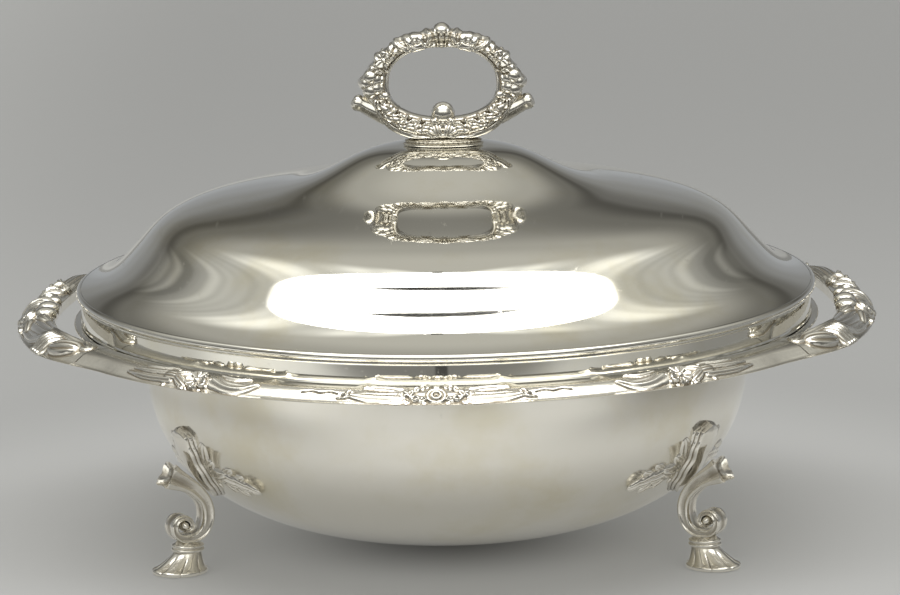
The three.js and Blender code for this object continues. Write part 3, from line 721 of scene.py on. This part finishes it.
def band(turn, inner, outer, rise, drop, foot, lift):
    """The grid of a band that lies round the dish: its section changes along the turn, in radians.

    The crown runs from the inner edge to the lip as a smooth curve, the underside is flat.
    All other values are in mm.
    """
    inner, outer, rise, drop, foot, lift = (
        np.broadcast_to(value, len(turn)) * mm for value in (inner, outer, rise, drop, foot, lift))
    across = (outer - inner)[:, None] * section_places[None, :] + inner[:, None]
    tall = np.where(section_heights > 0, rise[:, None] * section_heights, drop[:, None] * section_heights)
    crown = np.stack([across @ section_weights.T, tall @ section_weights.T], axis=-1)
    corners = np.stack([crown[:, -1], np.c_[foot, -drop], np.c_[foot, 0 * foot], crown[:, 0]], axis=1)
    # The underside runs through three straight sides, evenly spaced along each.
    share = np.linspace(0, 3, section_under + 2)[1:-1]
    low = np.minimum(share.astype(int), 2)
    under = corners[:, low] + (share - low)[None, :, None] * (corners[:, low + 1] - corners[:, low])
    section = np.concatenate([crown, under], axis=1)
    return around(section[..., 0], turn[:, None], section[..., 1] + (seat_height + lift)[:, None])


def over_crown(height):
    """A height map of the crown in mm, made metres and carried on over the plain underside."""
    return np.pad(height, ((0, 0), (0, section_under))) * mm


def swollen(degrees):
    """How far the lip swells out: 1 up to the shoulder's start from a handle's middle, 0 past its run."""
    return 1 - smooth(ramp(np.abs(degrees), shoulder_start, shoulder_run))


border_half_turn = math.radians(59.88)
border_inner = 132.5
border_outer = 146.6
border_rise = 1.9
border_drop = 2.6
border_foot = 133.7
border_arc_radius = 140.0
border_section = 16.6
lip_swell = 6.6
shoulder_start = 21
shoulder_run = 16
border_turns = np.linspace(-border_half_turn, border_half_turn, 1300)
s, t = np.meshgrid(np.abs(border_turns) * border_arc_radius, section_spots * border_section, indexing="ij")
border_height = 0.12 * hump(t - 0.8 * np.sin(s * 0.13), 11, 3.0)
curl_share = np.linspace(0, 1, 6)
curl_reach = 1.5 * 0.35 ** curl_share
curl_turns = np.radians(60 - 260 * curl_share)
curl = [f"{28.6 + reach * math.cos(turn)} {11.2 + reach * math.sin(turn)}"
        for reach, turn in zip(curl_reach, curl_turns)]
ribbons(
    border_height, s, t,
    (1.9, 0.95, 0.2, "24.5 8.6", "18 8.0", "11.5 9.0"), (2.3, 1.1, 0.2, "31 12.0", "22 12.8", "12.5 13.2"),
    (0.7, 0.8, 0.35, "33 13.6", "30 13.0", *curl), (1.4, 0.9, 0.3, "66 7.6", "72 8.2", "78 7.0"),
    (2.7, 1.25, 0.3, "62 10.6", "68 12.8", "75 12.2", "79.5 10.2"),
    (1.3, 0.85, 0.2, "116 10.6", "106 10.0", "97.5 9.0"), (1.0, 0.75, 0.2, "112 8.0", "104 7.2", "98 6.4"),
    (1.5, 0.95, 0.2, "118 12.6", "107 12.9", "97.5 12.4"),
)
stamped(
    border_height, s, t,
    (leaf, "6.2 12.9 -14 3.4 1.15", "6.4 8.6 34 3.0 1.1", "10.2 11.0 8 3.0 1.1", "3.6 6.9 70 2.2 1.1",
     "10.4 14.2 -24 2.4 1.1", "90.4 15.0 -20 2.6 1.1"),
    (rosette, "0 12.2 0 3.7 1.0"), (flower, "85.8 11.4 15 4.6 1.0"),
    (lobe, "92.6 12.6 -30 3.9 1.0", "93.0 8.6 24 3.7 1.0", "97.0 10.8 0 3.9 1.0"),
    (bead, "3.9 15.0 0 0.9 1", "0 7.2 0 1.5 0.9", "81.6 13.2 0 1.0 1", "83.4 15.0 0 0.8 1",
     "98.8 14.9 0 0.9 1", "14.0 11.1 0 0.8 1"),
)
for crest in (58.5, 101.0, 24.0):
    border_height += np.clip(0.75 - np.abs(s - crest) / 5.5, 0, 1) * hump(t, 4.6, 1.8)
border_height *= ramp(t, 0.7, 1.2) * ramp(t, 16.3, -1.0)
border_height -= 0.55 * hump(t - 0.3 * np.sin(s), 11.2, 0.28) * (s > 33) * (s < 46)
border_map = over_crown(border_height)
border_relief = np.append(recessed(border_map, 2, 0.00016), [0.5, 0.5])
border_reach = border_outer + lip_swell * swollen(90 - np.degrees(np.abs(border_turns)))
border_silver = cast_silver("border_silver", (0.83, 0.80, 0.725), (0.30, 0.262, 0.20))
for side, middle in (("front", -90), ("rear", 90)):
    points, faces = cast(band(border_turns + math.radians(middle), border_inner, border_reach,
                              border_rise, border_drop, border_foot, 0), border_map)
    placed("border_casting_" + side, points, faces, border_silver, "dish",
           ["border_" + side], 80, border_relief)


# Handles
# Two open loop grips, cast like the border and soldered to its ends: the band leaves the brim at
# each shoulder and swells to a knob of flowers. The two are a mirrored pair.
handle_half_turn = math.radians(29.88)
mm_per_degree = 2.55
handle_section = 16.4
handle_turns = np.linspace(-handle_half_turn, handle_half_turn, 560)
degrees = np.degrees(handle_turns)
grip_end = 19
grip = 1 - smooth(ramp(np.abs(degrees), grip_end, 9))
knob = hump(degrees, 0, 5.5)
shoulder = hump(np.abs(degrees), grip_end, 5.0)
rear_arm = hump(degrees, -20, 8.0)
grip_opening = 7.9
grip_foot = 7.2
grip_lift = 0.5
rear_lift = 1.6
handle_inner = border_inner + grip_opening * grip - 1.2 * knob
handle_outer = border_outer + lip_swell * swollen(degrees) + 0.5 * knob
handle_foot = border_foot + grip_foot * grip
handle_rise = border_rise + 0.6 * grip + 1.0 * knob + 0.4 * shoulder
handle_drop = 2.5 + 0.6 * grip
s, t = np.meshgrid(degrees * mm_per_degree, section_spots * handle_section, indexing="ij")
arm_flutes = np.abs(np.cos(np.pi * (t + 0.09 * s) / 3.1)) ** 0.7 * ramp(s, 18, 4) * ramp(s, 46, -3)
rear_flutes = np.abs(np.cos(np.pi * t / 2.6)) ** 0.7 * ramp(s, -34, -4) * ramp(s, -66, 8)
shell_flutes = np.abs(np.sin(np.pi * (s + 0.35 * t) / 2.5)) ** 0.6 * ramp(s, 45, 2) * ramp(s, 57, -2)
handle_height = np.maximum(0.28 * arm_flutes + 0.4 * rear_flutes, 0.95 * shell_flutes * ramp(t, 4, 3))
ribbons(
    handle_height, s, t,
    (1.6, 1.2, 0.3, "42 4.6", "50 3.6", "60 4.8", "70 6.4"),
    (1.3, 0.9, 0.3, "20 13.6", "30 13.8", "42 12.4", "47 10.0"),
    (1.4, 0.8, 0.2, "-74 10.2", "-66 11.0", "-56 12.2", "-44 12.6"),
)
stamped(
    handle_height, s, t,
    (lobe, "64 10.4 -8 7.4 0.95", "70 6.8 10 5.2 0.7", "20.5 5.4 160 5.0 0.9", "21.0 12.0 200 5.0 0.9",
     "-25.4 9.2 84 6.8 0.8", "-5.8 9.4 72 6.6 1.1", "-2.0 8.8 110 6.0 1.0", "-9.6 8.6 50 5.6 1.0"),
    (leaf, "-34 9.4 186 7.4 0.9", "-31 4.2 170 4.6 0.9", "-68 7.4 182 7.4 0.65", "-30.5 13.8 205 4.4 0.9"),
    (rosette, "9.8 11.2 0 4.9 1.0", "-17.6 6.6 0 4.0 1.0"),
    (bead, "11.6 4.8 0 3.9 0.8", "2.6 14.0 0 3.1 0.8", "3.0 4.4 0 3.7 0.8", "-13.8 13.2 0 4.0 0.8",
     "-21.4 12.6 0 3.0 0.8", "15.6 15.2 0 1.5 1", "-11.8 3.4 0 2.6 0.85", "59.5 13.6 0 1.2 0.8"),
)
handle_height *= ramp(t, 0.4, 1.0) * ramp(t, handle_section, -1.0)
handle_map = over_crown(handle_height)
handle_relief = recessed(handle_map, 3, 0.00028)
handle_lift = grip_lift * grip + rear_lift * rear_arm
for side, middle, order in (("right", 0, -1), ("left", 180, 1)):
    points, faces = cast(band(handle_turns + math.radians(middle), handle_inner, handle_outer, handle_rise,
                              handle_drop, handle_foot, handle_lift[::order]), handle_map[::order])
    placed("handle_casting_" + side, points, faces, border_silver, "dish",
           ["handle_" + side], 80, np.append(handle_relief[::order], [0.5, 0.5]))


# Ring finial
# The grip of the lid: an oval ring cast in silver-plated metal on an oval moulded base. A palmette
# crowns it; scrolls, leaves and flowers run down both faces to an orb over the foot.
def oval_stack(rows, steps):
    """Ovals of half length, half width and height, one per row, as a grid of points."""
    points = around(rows[:, :1], full_turn(steps), rows[:, 2:3])
    points[..., 1] = rows[:, 1:2] * np.sin(full_turn(steps))
    return points


def squarish(wave, power):
    """A wave with its size raised to a power and its sign kept: a power under 1 makes it squarer."""
    return np.sign(wave) * np.abs(wave) ** power


def merged(*bodies):
    """Several bodies of points, faces and relief as one."""
    points, faces, reliefs, start = [], [], [], 0
    for body_points, body_faces, relief in bodies:
        points.append(np.asarray(body_points))
        faces += [[corner + start for corner in face] for face in body_faces]
        reliefs.append(np.broadcast_to(relief, len(body_points)))
        start += len(body_points)
    return np.vstack(points), faces, np.concatenate(reliefs)


ring_silver = cast_silver("finial_silver", (0.84, 0.81, 0.735), (0.34, 0.30, 0.23))
base_bottom = 143.05
base_rows = np.array(numbers(
    "13.4 6.7 0", "14.2 7.3 0.02", "14.4 7.5 0.3", "14.35 7.45 0.6", "13.9 7.0 0.8", "13.3 6.5 0.95",
    "13.1 6.3 1.1", "13.5 6.7 1.3", "13.6 6.8 1.55", "13.3 6.5 1.8", "12.8 6.1 1.9", "12.4 5.8 2.15"))
base_steps = 160
base_rope = 22
base_ridge = hump(np.arange(len(base_rows)), 7.5, 1.2)
base_map = 0.22 * mm * base_ridge[:, None] * np.abs(np.sin(base_rope * full_turn(base_steps)))
base_map[[0, 1, -1]] = 0
points, faces = cast(oval_stack(base_rows + (0, 0, base_bottom), base_steps) * mm, base_map)
placed("finial_base_moulding", points, faces, ring_silver, "lid", ["finial_base"], 50,
       np.append(recessed(base_map, 2, 0.0001) * 0.7 + 0.1, [0.5, 0.5]))

ring_centre = 164.6
ring_cut = 145.5
hollow_half_width = 19.2
hollow_above, hollow_below = 13.3, 11.6
hollow_corners = 0.88
rim_half_width = 27.6
rim_half_height = 19.4
ring_angles = full_turn(900)
from_top = np.degrees(np.arccos(np.clip(np.cos(ring_angles), -1, 1)))
ring_sine, ring_cosine = np.sin(ring_angles), np.cos(ring_angles)
hollow_x = hollow_half_width * squarish(ring_sine, hollow_corners)
hollow_z = np.where(ring_cosine > 0, hollow_above, hollow_below) * squarish(ring_cosine, hollow_corners)
rim_x = (rim_half_width + 1.2 * hump(from_top, 102, 7.0) + 1.6 * hump(from_top, 84, 9.0)) * ring_sine
rim_z = rim_half_height * ring_cosine + 1.5 * hump(from_top, 0, 7.0) - 1.4 * ramp(from_top, 120, 20)
across_ring = np.concatenate([np.linspace(0, 1, 46), np.linspace(1, 0, 46)[1:-1]])
ring_faces = np.concatenate([np.ones(46), -np.ones(44)])
ring_depths = eased(np.array((0, 0.04, 0.12, 0.2, 0.28, 0.5, 0.75, 0.93, 1.0)),
                    np.array((0, 1.7, 2.9, 2.75, 2.3, 3.3, 3.2, 2.0, 0.0)), across_ring)
ring_skin = np.stack([
    hollow_x[:, None] + (rim_x - hollow_x)[:, None] * across_ring,
    -(ring_faces * ring_depths)[None, :] * (1 + 0.12 * hump(from_top, 180, 40.0))[:, None],
    hollow_z[:, None] + (rim_z - hollow_z)[:, None] * across_ring + ring_centre,
], axis=-1)
middle_line = measured(np.c_[hollow_x + rim_x, hollow_z + rim_z] / 2)
half_length = np.interp(np.pi, ring_angles, middle_line)
s = np.minimum(middle_line, 2 * half_length - middle_line)[:, None] * np.ones(len(across_ring))
t = np.hypot(rim_x - hollow_x, rim_z - hollow_z)[:, None] * across_ring
ring_map = ramp(s, 11, 3) * ramp(s, 37, -2) * (0.45 * hump(t, 0.9, 0.32) + 0.4 * hump(t, 2.2, 0.34))
ribbons(
    ring_map, s, t,
    (1.0, 1.2, 0.7, "0 0.9", "0 4", "0 7.6"), (0.7, 1.0, 0.7, "1.5 0.9", "1.8 4", "2.4 7.0"),
    (1.05, 1.75, 0.7, "6.2 7.0", "4.4 5.4", "4.6 2.8", "8.2 1.3", "12.4 1.9", "14.6 3.6", "15.0 5.8",
     "13.4 7.2", "11.6 6.4"),
    (0.95, 1.2, 0.6, "37.5 5.6", "44 7.2", "53 7.6", "61 6.6", "68 5.2"),
    (0.7, 0.9, 0.6, "38.5 4.2", "45 5.6", "54 5.9", "62 5.0"),
)
stamped(
    ring_map, s, t,
    (fan, "9.4 4.4 0 3.3 1.3"), (flower, "21.9 4.4 15 3.2 1.2"),
    (leaf, "17.6 4.8 158 3.6 1.4", "26.6 3.4 75 2.4 1.1", "26.2 6.8 30 2.4 1.0", "41.0 2.9 -28 4.2 1.25",
     "46.4 3.1 -28 4.3 1.25", "52.0 3.2 -28 4.3 1.25", "57.4 3.2 -30 4.0 1.25", "43.6 4.9 16 2.8 1.0",
     "49.2 5.0 14 2.8 1.0", "54.8 4.9 12 2.8 1.0"),
    (lobe, f"{half_length - 2.4} 3.6 62 3.6 1.3", f"{half_length - 5.0} 4.8 25 3.2 1.2"),
    (rosette, "31.6 5.9 0 1.5 1.9", f"{half_length} 2.6 0 2.4 1.2"),
    (bead, "5.6 7.3 0 1.9 0.9", "0 8.0 0 3.0 0.7", "36.4 2.2 0 1.8 1", "60.2 3.2 0 1.3 1"),
    (bead, *(f"{31.6 + 2.55 * math.cos(turn)} {5.9 + 2.55 * math.sin(turn)} 0 2.3 0.95"
             for turn in full_turn(5) + math.radians(20))),
)
ring_map *= np.clip(t / 0.8, 0, 1)
calmed = sum(np.roll(ring_map, turns_on, axis=0) for turns_on in range(-4, 5)) / 9
ring_map += (calmed - ring_map) * ramp(across_ring, 0.8, 0.15)
ring_relief = recessed(ring_map, 3, 0.3)
points, faces = cast(ring_skin, ring_map, looped=True)
points[:, 2] = np.maximum(points[:, 2], ring_cut)
orb_height = 154.0
orb_radius = 4.3
round_turn = full_turn(48)
orb_turn = np.linspace(0, np.pi, 33)[1:-1, None]
orb_reach = orb_radius - 0.12 * hump(orb_turn, 1.75, 0.09)
orb_points, orb_faces = cast(
    around(orb_reach * np.sin(orb_turn), round_turn, orb_height + orb_reach * np.cos(orb_turn)))
orb_points[-2:, 2] = (orb_height + orb_radius, orb_height - orb_radius)
bodies = [(points, faces, ring_relief.ravel()), (orb_points, orb_faces, 0.12)]
horn_root = (22.0, 154.2)
horn_tilt = (0.9, 0.436)
horn_rows = np.array(numbers(
    "-2.5 3.3", "0 3.2", "3 2.95", "5.5 2.7", "7.4 2.55", "8.2 2.75", "9.2 2.95", "10.1 2.75", "10.8 2.2",
    "11.2 1.4", "11.35 0.6"))
horn_out, horn_reach = horn_rows[:, :1], horn_rows[:, 1:]
horn_side = horn_reach * np.cos(round_turn)
for hand in (1, -1):
    horn_skin = np.stack([
        hand * (horn_root[0] + horn_out * horn_tilt[0] - horn_side * horn_tilt[1]),
        horn_reach * np.sin(round_turn),
        horn_root[1] + horn_out * horn_tilt[1] + horn_side * horn_tilt[0],
    ], axis=-1)
    horn_flutes = 0.12 * np.abs(np.cos(4 * round_turn)) * np.ones((len(horn_rows), 1))
    bodies.append((*cast(horn_skin, horn_flutes), 0.22))
points, faces, relief = merged(*bodies)
placed("finial_ring_casting", points * mm, faces, ring_silver, "lid",
       ["finial_ring"], 80, relief)


# Leaf mounts
# Cast plates soldered on the bowl's side, one over each leg: a stepped shield with scalloped edges
# and a spray of overlapping leaves to either side. Their edges sink a little into the solder.
def sheet(upper, lower, mask):
    """A closed plate between two grids of points, kept where the mask of cells is set.

    Gives its points, its faces and the grid number of each point.
    """
    rows, count = upper.shape[:2]
    number = np.arange(rows * count).reshape(rows, count)
    top = np.stack([number[:-1, :-1], number[1:, :-1], number[1:, 1:], number[:-1, 1:]], axis=-1)
    under = rows * count
    faces = [top[mask], top[mask][:, ::-1] + under]
    framed = np.pad(mask, 1)
    for row, column, first, second in ((1, 0, 1, 2), (-1, 0, 3, 0), (0, 1, 2, 3), (0, -1, 0, 1)):
        beside = framed[1 + row:framed.shape[0] - 1 + row, 1 + column:framed.shape[1] - 1 + column]
        edge = top[mask & ~beside]
        start, end = edge[:, first], edge[:, second]
        faces.append(np.stack([end, start, start + under, end + under], axis=-1))
    used, faces = np.unique(np.vstack(faces), return_inverse=True)
    points = np.vstack([upper.reshape(-1, 3), lower.reshape(-1, 3)])[used]
    faces = faces.reshape(-1, 4)
    return points, (faces if outward(points, faces) else faces[:, ::-1]), used % under


def on_bowl(middle, across, height, lift):
    """Points over the bowl's skin: across it in mm from a middle angle, at a height, lifted off."""
    def radius_at(level):
        down = np.clip((bowl_shoulder / mm - level) / (bowl_depth / mm), 0, 1)
        return bowl_radius / mm * np.clip(1 - down ** bowl_power, 0, 1) ** (1 / bowl_power)
    tilt = np.arctan2(radius_at(height + 1) - radius_at(height - 1), 2.0)
    turn = middle + across / radius_at(height)
    return around(radius_at(height) + lift * np.cos(tilt), turn, height - lift * np.sin(tilt)) * mm


mount_silver = cast_silver("mount_silver", (0.80, 0.77, 0.70), (0.26, 0.22, 0.165))
solder_sink = 0.35
mount_under = -0.8
mount_across, mount_height = np.meshgrid(np.linspace(-33, 33, 300), np.linspace(24, 54, 150), indexing="ij")
shield_heights = (24, 26.0, 28.0, 31, 35, 39, 43, 46, 48.5, 50, 51.2, 52.4, 54)
shield_halves = (-3, 0.8, 3.6, 6.4, 7.6, 8.0, 8.2, 8.4, 8.2, 7.4, 5.0, 1.0, -3)
shield_edge = np.interp(mount_height, shield_heights, shield_halves) - np.abs(mount_across)
shield_edge += 0.35 * np.sin(mount_height * 0.9)
mount_map = 0.6 * ramp(shield_edge, 3.0, 4)
mount_map += (shield_edge > 3) * 0.12 * np.sin(mount_height * 0.55 + mount_across * 0.4)
for inset, rise, run in ((0, 1.0, 0.4), (1.2, 1.05, 0.4), (2.4, 1.2, 0.45)):
    mount_map += rise * ramp(shield_edge, inset, run) ** 0.7
for line in (1.0, 2.15):
    mount_map -= (shield_edge > 0.2) * 0.35 * hump(shield_edge, line, 0.14)
for hand in (1, -1):
    stamped(
        mount_map, mount_across * hand, mount_height,
        (lobe, "9.4 43.0 62 6.4 0.62", "9.6 38.6 38 5.6 0.8", "13.4 36.6 8 6.2 1.0", "18.8 35.8 -8 5.8 1.0",
         "23.6 35.0 -12 5.4 1.0", "28.0 34.0 -20 4.2 1.05", "15.8 32.8 -30 3.8 0.9", "21.4 31.8 -32 3.6 0.9",
         "20.4 39.0 20 3.6 0.9", "25.6 37.6 14 3.0 0.9"),
        (bead, "7.6 31.2 0 1.3 1", "10.2 33.2 0 0.9 1"),
    )
raised = mount_map > 0.02
for _ in range(2):
    raised = np.any([raised, *(np.roll(raised, step, axis) for axis in (0, 1) for step in (1, -1))], axis=0)
raised[[0, -1]] = False
raised[:, [0, -1]] = False
mount_cells = raised[:-1, :-1] & raised[1:, :-1] & raised[:-1, 1:] & raised[1:, 1:]
mount_relief = recessed(mount_map, 3, 0.7).ravel()
leg_angles = (("front_left", -150), ("front_right", -30), ("rear", 90))
for side, middle in leg_angles:
    turn = math.radians(middle)
    points, faces, kept = sheet(
        on_bowl(turn, mount_across, mount_height, mount_map - solder_sink),
        on_bowl(turn, mount_across, mount_height, np.full_like(mount_map, mount_under)), mount_cells,
    )
    placed("leaf_mount_casting_" + side, points, faces.tolist(), mount_silver, "dish",
           ["leaf_mount_" + side], 80, mount_relief[kept])


# Scroll legs
# Cast legs soldered under the leaf mounts: a C-scroll with a flared, hollow horn above and a volute
# below, on a collar of two rings and a fluted shell foot whose toe points outwards.
scroll_rows = np.array(numbers(
    "112.9 35.7 5.2 5.4", "110.4 34.3 4.4 4.8", "107.6 32.8 3.7 4.5", "104.6 30.9 3.2 4.3",
    "101.6 28.2 2.9 4.2", "99.3 25.1 2.65 4.2", "98.2 21.4 2.6 4.2", "98.4 17.8 2.5 4.2",
    "99.8 14.7 2.3 4.2", "102.6 12.6 2.0 4.2", "105.9 12.2 1.75 4.2", "109.0 12.9 1.6 4.2",
    "111.2 15.0 1.5 4.15", "111.5 17.6 1.4 4.1", "110.0 19.6 1.3 4.05", "107.6 20.0 1.15 4.0",
    "105.5 18.8 1.05 4.0", "104.9 17.0 1.0 4.0", "105.8 15.5 0.95 4.0", "107.4 15.4 0.9 4.0"))
knots = measured(scroll_rows[:, :2])
spots = np.linspace(0, knots[-1], 320)
scroll = eased(knots, scroll_rows, spots)
ahead = headed(scroll[:, :2])
mouth_inset = np.array((1.9, 1.7, 1.2, 0.5, 0.05))[:, None]
mouth_share = np.array((0.25, 0.5, 0.7, 0.82, 0.94))[:, None]
mouth_count = len(mouth_inset)
line = np.vstack([scroll[0, :2] + ahead[0] * mouth_inset, scroll[:, :2]])
ahead = np.vstack([np.repeat(ahead[:1], mouth_count, axis=0), ahead])
depth, half = np.hsplit(np.vstack([scroll[0, 2:] * mouth_share, scroll[:, 2:]]), 2)
round_turn = full_turn(96)
between_ribs = np.abs(np.cos(2 * round_turn))
rib = 1 - 0.27 * between_ribs ** 1.5
out_share = squarish(np.cos(round_turn), 0.72) * rib
side_share = squarish(np.sin(round_turn), 0.72) * rib
scroll_skin = np.stack([
    line[:, :1] - ahead[:, 1:] * depth * out_share, half * side_share,
    line[:, 1:] + ahead[:, :1] * depth * out_share,
], axis=-1)
horn_flutes = np.concatenate([np.zeros(mouth_count), 0.35 * ramp(spots, 9.5, -9)])
scroll_map = horn_flutes[:, None] * np.abs(np.cos(5 * round_turn)) ** 0.5
scroll_map[mouth_count:] += 0.16 * hump(between_ribs, 0.55, 0.1)
scroll_relief = np.append(0.5 * between_ribs ** 3 * np.ones((len(line), 1)), [0.9, 0.3])
eye_middle = (107.7, 17.2)
eye_radius = 1.9
eye_half_length = 4.7
eye_turn, eye_round = np.linspace(0, np.pi, 21)[1:-1, None], full_turn(32)
eye_skin = np.stack([
    eye_middle[0] + eye_radius * np.sin(eye_turn) * np.cos(eye_round),
    eye_half_length * np.cos(eye_turn) + 0 * eye_round,
    eye_middle[1] + eye_radius * np.sin(eye_turn) * np.sin(eye_round),
], axis=-1)
foot_middle = 106.5
foot_rows = np.array(numbers(
    "6.0 5.2 0 1.9", "9.4 8.4 0 2.1", "9.9 8.8 0.25 2.2", "10.1 8.95 0.8 2.2", "10.0 8.9 1.4 2.15",
    "9.4 8.4 1.75 1.9", "8.6 7.7 2.1 1.6", "7.9 7.1 2.9 1.1", "7.1 6.5 3.8 0.6", "6.4 5.9 4.8 0.1",
    "5.8 5.4 5.8 -0.4", "5.3 5.0 6.8 -0.8", "5.1 4.8 7.3 -1.0", "5.3 5.0 7.5 -1.1", "5.8 5.4 7.7 -1.1",
    "6.0 5.6 8.0 -1.1", "6.0 5.6 8.4 -1.1", "5.8 5.4 8.7 -1.1", "5.3 5.0 8.85 -1.1", "5.3 5.0 9.0 -1.1",
    "5.7 5.3 9.15 -1.1", "5.9 5.5 9.4 -1.1", "5.9 5.5 9.8 -1.1", "5.6 5.2 10.1 -1.1", "4.8 4.4 10.5 -1.1",
    "3.8 3.4 11.2 -1.1"))
foot_steps = 192
foot_skin = oval_stack(foot_rows, foot_steps)
foot_skin[..., 0] += foot_middle + foot_rows[:, 3:]
flute_depth = np.interp(foot_rows[:, 2], (0, 0.25, 1.5, 2.2, 5.5, 6.3), (0, 0.3, 0.5, 0.8, 0.55, 0))
flute_depth[:2] = 0
foot_map = 0.8 * flute_depth[:, None] * (np.abs(np.cos(4 * full_turn(foot_steps))) ** 0.5 - 0.65)
foot_points, foot_faces = cast(foot_skin, foot_map)
foot_points[:, 2] = np.maximum(foot_points[:, 2], 0)
leg_silver = cast_silver("leg_silver", (0.79, 0.76, 0.69), (0.28, 0.24, 0.18))
points, faces, relief = merged(
    (*cast(scroll_skin, scroll_map), scroll_relief), (*cast(eye_skin), 0.15),
    (foot_points, foot_faces, np.append(recessed(foot_map, 3, 0.5), [0.6, 0.4])),
)
for side, middle in leg_angles:
    cos, sin = math.cos(math.radians(middle)), math.sin(math.radians(middle))
    spun = points @ np.array(((cos, sin, 0), (-sin, cos, 0), (0, 0, 1)))
    placed("scroll_leg_casting_" + side, spun * mm, faces, leg_silver, "dish",
           ["scroll_leg_" + side], 60, relief)


# Finial fixing
# Bare brass under the lid: a threaded stud screwed into the ring, a turned washer and a hexagon nut.
def bare_brass(name):
    """Turned brass left unplated: warm yellow, dulled in clouds, with fine tool marks round it."""
    material, tree, shader, spot = plain_material(name)
    shader.inputs["Metallic"].default_value = 1.0
    clouds = clouded(tree, spot, 210.0, 6.0)
    dulled = mixed(tree, faded(tree, clouds, 0.42, 0.72), (0.66, 0.47, 0.20), (0.30, 0.20, 0.09))
    tree.links.new(dulled, shader.inputs["Base Color"])
    tree.links.new(faded(tree, clouds, 0.35, 0.75, 0.22, 0.5), shader.inputs["Roughness"])
    marks = joined(tree, "ShaderNodeTexWave", spot, 700.0, 1.5, wave_type="RINGS", rings_direction="Z")
    bumped(tree, shader, marks.node.outputs["Fac"], 0.00003, 0.35)
    return material


def threaded(levels, turn):
    """How deep in the thread's groove each spot lies, once per pitch: 1 at its root, 0 at its crest."""
    return np.abs((levels[:, None] / stud_pitch - turn / (2 * np.pi)) % 1 * 2 - 1)


fixing_brass = bare_brass("fixing_brass")
stud_radius = 2.4
stud_tip_radius = 1.75
stud_pitch = 0.8
stud_bottom, stud_top = 134.35, 149.65
thread_depth = 0.42
stud_levels = np.linspace(stud_bottom, stud_top, 300)
stud_turn = full_turn(64)
to_end = np.minimum(stud_levels - stud_bottom, stud_top - stud_levels)[:, None]
stud_reach = stud_radius - thread_depth * np.clip(threaded(stud_levels, stud_turn) * 1.3 - 0.15, 0, 1)
stud_reach = np.minimum(stud_reach, stud_tip_radius + to_end * 0.9)
points, faces = cast(around(stud_reach, stud_turn, stud_levels[:, None]) * mm)
placed("finial_stud_threaded", points, faces, fixing_brass, "lid", ["finial_stud"], 40)

fixing_hole = 2.7
washer_radius = 9.0
washer_bottom, washer_top = 140.1, 141.3
washer_line = rounded([
    (fixing_hole, washer_bottom), (washer_radius, washer_bottom), (washer_radius, washer_top),
    (fixing_hole, washer_top),
], [0.18, 0.35], 5)
points, faces = turned(washer_line * mm, 128)
placed("finial_washer_turned", points, faces, fixing_brass, "lid", ["finial_washer"], 40)

nut_corner_radius = 5.2
nut_turn = full_turn(192)
nut_flat = nut_corner_radius * math.cos(math.pi / 6) / np.cos(nut_turn % (np.pi / 3) - np.pi / 6)
nut_rows = np.array(numbers(
    "2.7 135.8", "4.35 135.8", "4.6 135.82", "5.25 136.25", "5.25 137.8", "5.25 139.35", "4.6 139.78",
    "4.35 139.8", "2.7 139.8"))
bore_radius = 2.63
bore_levels = np.linspace(139.6, 136.0, 60)
bore_reach = bore_radius + 0.28 * threaded(bore_levels, nut_turn)
nut_reach = np.vstack([np.minimum(nut_rows[:, :1], nut_flat), bore_reach])
nut_levels = np.concatenate([nut_rows[:, 1], bore_levels])
points, faces = cast(around(nut_reach, nut_turn, nut_levels[:, None]) * mm, looped=True)
placed("finial_nut_hexagon", points, faces, fixing_brass, "lid", ["finial_nut"], 35)
